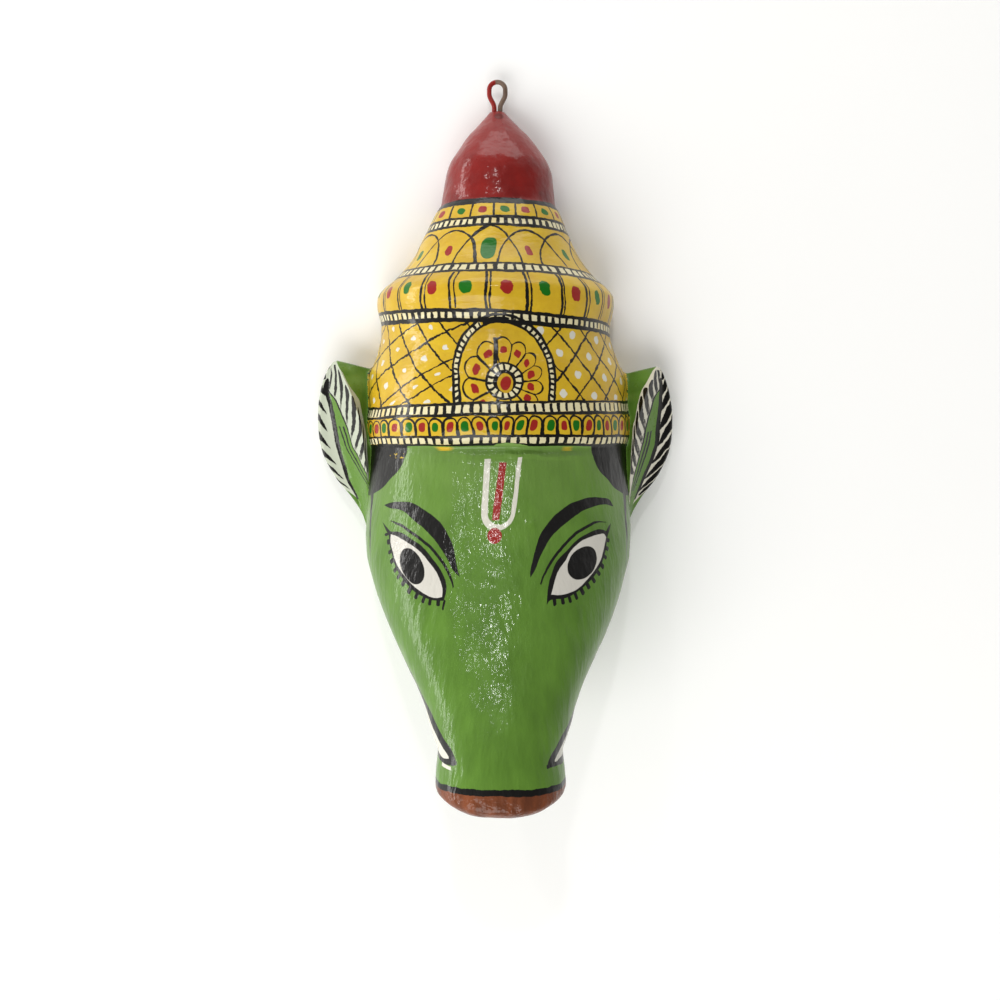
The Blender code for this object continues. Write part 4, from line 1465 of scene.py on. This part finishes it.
# The ears' painted lines, as (length share from root to tip, width share from edge to fold)
LEFT_RIB_OUTER = (
    (0.20, 0.28), (0.26, 0.31), (0.37, 0.35), (0.46, 0.40), (0.54, 0.39), (0.62, 0.37), (0.68, 0.33),
    (0.78, 0.20), (0.86, 0.14),
)
LEFT_RIB_INNER = (
    (0.30, 1.30), (0.39, 1.00), (0.43, 0.92), (0.48, 0.82), (0.55, 0.71), (0.61, 0.65), (0.67, 0.57),
    (0.72, 0.46), (0.78, 0.22), (0.82, 0.16),
)
RIGHT_RIB_OUTER = (
    (0.20, 0.46), (0.26, 0.46), (0.37, 0.48), (0.46, 0.44), (0.56, 0.39), (0.64, 0.38), (0.75, 0.35),
    (0.84, 0.32),
)
RIGHT_RIB_INNER = (
    (0.26, 0.97), (0.36, 0.89), (0.47, 0.83), (0.56, 0.77), (0.67, 0.69), (0.74, 0.62), (0.81, 0.37),
    (0.84, 0.32),
)
LEFT_LEAF_END = (
    (0.28, 1.1), (0.36, 1.17), (0.46, 1.29), (0.56, 1.32), (0.64, 1.28), (0.71, 1.28), (0.75, 1.20),
    (0.80, 1.08), (0.88, 1.03), (1.0, 0.8),
)
RIGHT_LEAF_END = (
    (0.28, 1.0), (0.36, 1.02), (0.53, 1.25), (0.62, 1.28), (0.66, 1.23), (0.76, 1.24), (0.84, 1.15),
    (0.97, 1.03), (1.0, 0.95),
)


def ear_paint():
    """Green ears with a white leaf in front, striped in black on both sides of a green rib."""
    coat = Coat("ear_enamel", FACE_GREEN)
    turn, _, _ = coat.place("wrap")
    width, length, _ = coat.place("leaf")
    slow_a, slow_b, slow_c = coat.unevenness(9.0, seed=7.0)
    quick_a, quick_b, quick_c = coat.unevenness(1.8, detail=2.0, seed=8.0)
    geometry = coat.tree.nodes.new("ShaderNodeNewGeometry")
    facing = coat.split(geometry.outputs["True Normal"])[2]
    front = facing.step("MULTIPLY_ADD", 8.0, 0.6, clamp=True)
    right = turn.over(0.0)
    u = width + slow_a * 0.03 + quick_a * 0.012
    t = length + slow_b * 0.012 + quick_b * 0.005

    def by_side(left_line, right_line):
        first, second = t.along(left_line), t.along(right_line)
        return first + (second - first) * right

    outer = by_side(LEFT_RIB_OUTER, RIGHT_RIB_OUTER)
    inner = by_side(LEFT_RIB_INNER, RIGHT_RIB_INNER)
    end = by_side(LEFT_LEAF_END, RIGHT_LEAF_END)
    across = 24.0
    leaf = most((u - end) * across, (0.24 - t) * 60.0 + (0.3 - u) * 12.0)
    white = coat.mixed(EAR_WHITE_LEFT, EAR_WHITE_RIGHT, right)
    deep = (slow_c + 0.4).share()
    pale = (slow_a * 1.4 - 0.1).share(0.8)
    coat.colour = coat.mixed(coat.mixed(FACE_GREEN, FACE_GREEN_DEEP, deep), FACE_GREEN_PALE, pale)
    coat.lay(white, inside(leaf) * front)

    rib = most(outer - u, u - inner, (t - 0.80) * 2) * across
    coat.lay(FACE_GREEN, inside(rib) * front)

    # Strokes from the edge down to the rib
    narrow = t.along(((0.6, 1.0), (0.825, 0.72), (0.937, 0.38), (1.0, 0.16)))
    count = (t + u * narrow * 0.29) * (1 / 0.071) + quick_c * 0.12
    number = count.nearest()
    share = u / outer
    fat = 0.2 + right * 0.15 + number.chance(1.0) * 0.07
    reach = 0.5 + right * 0.36 + number.chance(2.0) * 0.2
    worn = share / reach
    worn = worn * worn * (1.0 - right + worn * worn * right)
    bar = (abs(count - number) - fat * (1.08 - worn)) * 4.8
    bar = most(bar, (share - reach) * 5.0, band(t, 0.27, 0.955) * 60)

    # Drops from the fold down to the rib
    share = (end - u) / (end - inner)
    slope = narrow * (0.5 - right * 0.2)
    count = (t + (1.28 - u) * slope) * (right * 3.6 + 12.0) + quick_c * 0.1
    number = count.nearest()
    start = 0.14 - right * 0.1 + number.chance(4.0) * 0.1
    head = (share - start).positive()
    taper = 0.38 + right * 0.1 - head * (0.32 - right * 0.04)
    fat = (head * 8.0).step("MINIMUM", 1.0).step("SQRT") * taper
    drop = (abs(count - number) - fat) * (right * 0.9 + 3.4)
    drop = most(drop, (share - 0.95) * 6.0, (start - share) * 6.0, band(t, 0.40, 0.95) * 60, inner - u)

    outer_half = 1.2 + right * 0.2 + (t - 0.6).positive() * 1.5
    inner_half = 0.3 + right * 0.12 + (t - 0.55).positive() * 1.6
    rib_line = least(abs(u - outer) * across - outer_half, abs(u - inner) * across - inner_half)
    rib_line = most(rib_line, band(t, 0.24, 0.82) * 60)
    near_thin = abs(u - inner + 0.09) * across - 0.4 - right * 0.15
    far_thin = abs(u - inner + 0.17) * across - 0.36 - right * 0.2
    thin = most(least(near_thin, far_thin), band(t, 0.3, 0.6) * 60)
    tip_u, tip_t = 0.19 + right * 0.15, 0.785 + right * 0.045
    tip = oval((u - tip_u) * 20.0, (t - tip_t) * 68.0, 4.2, 6.6)
    coat.lay(INK, inside(most(least(bar, drop), leaf) + quick_b * 0.2, 0.2) * front)
    coat.lay(INK, inside(least(rib_line, thin, tip) + quick_b * 0.15, 0.2) * front)
    coat.raise_by(slow_c * 0.15 + quick_a * 0.08)
    return coat.dry(quick_b * 0.08 + 0.3, gloss=0.2)


def paper_finish():
    """Bare brown paper inside, laid in torn strips that lap over each other."""
    coat = Coat("bare_paper", BARE_PAPER)
    torn = {"Vector": coat.where(), "Scale": 62.0, "Randomness": 1.0}
    strips = new_node(coat.tree, "ShaderNodeTexVoronoi", torn, feature="F1")
    tone = coat.split(strips.outputs["Color"])[0]
    slow_a, _, _ = coat.unevenness(20.0, detail=3.0, seed=3.0)
    fibre, grain, _ = coat.unevenness(1.1, detail=4.0, seed=5.0)
    dark = (tone * 0.5 + slow_a * 0.6 + fibre * 0.5 + 0.1).share()
    coat.colour = coat.mixed(BARE_PAPER, BARE_PAPER_DARK, dark)
    coat.raise_by(tone * 0.35 + fibre * 0.25 + grain * 0.15)
    return coat.dry(grain * 0.1 + 0.86, gloss=0.0)


def wire_finish():
    """Wire dipped in the dome's red on its left leg, bare and dull on the right."""
    coat = Coat("wire_red_and_bare", WIRE_BARE)
    object_x, object_y, _ = coat.split(coat.where())
    slow_a, slow_b, _ = coat.unevenness(4.0, detail=2.0, seed=2.0)
    quick_a, quick_b, _ = coat.unevenness(0.8, detail=3.0, seed=3.0)
    coat.colour = coat.mixed(WIRE_BARE, WIRE_DARK, (slow_b + quick_a * 0.5 + 0.4).share())
    dipped = object_x * 1000 + 0.4 + slow_a * 0.8 + (object_y * 1000 - 128) * 0.12
    coat.lay(coat.mixed(DOME_RED, RED, (quick_b + 0.5).share()), inside(dipped, 0.3))
    coat.raise_by(quick_a * 0.08 + slow_a * 0.1)
    return coat.dry(quick_b * 0.15 + 0.42, gloss=0.3)


def table_finish():
    """A plain pale table top."""
    coat = Coat("pale_table", TABLE_PALE)
    slow, _, grain = coat.unevenness(60.0, detail=2.0)
    coat.colour = coat.mixed(TABLE_PALE, TABLE_SHADE, (slow * 0.5 + 0.5).share(0.3))
    coat.raise_by(grain * 0.01)
    return coat.dry(grain * 0.05 + 0.8, gloss=0.0)


def main():
    paints = [face_paint(), crown_paint(), dome_paint(), ear_paint(), paper_finish()]
    shell = add_object("mask_paper", mask_shell(paints))
    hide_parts("mask")
    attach(shell, "root")
    wire = hanging_wire(wire_finish())
    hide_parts("hanging_loop")
    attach(wire, "root")
    table_top(table_finish())
    studio()
    camera()


main()
bpy.context.view_layer.update()
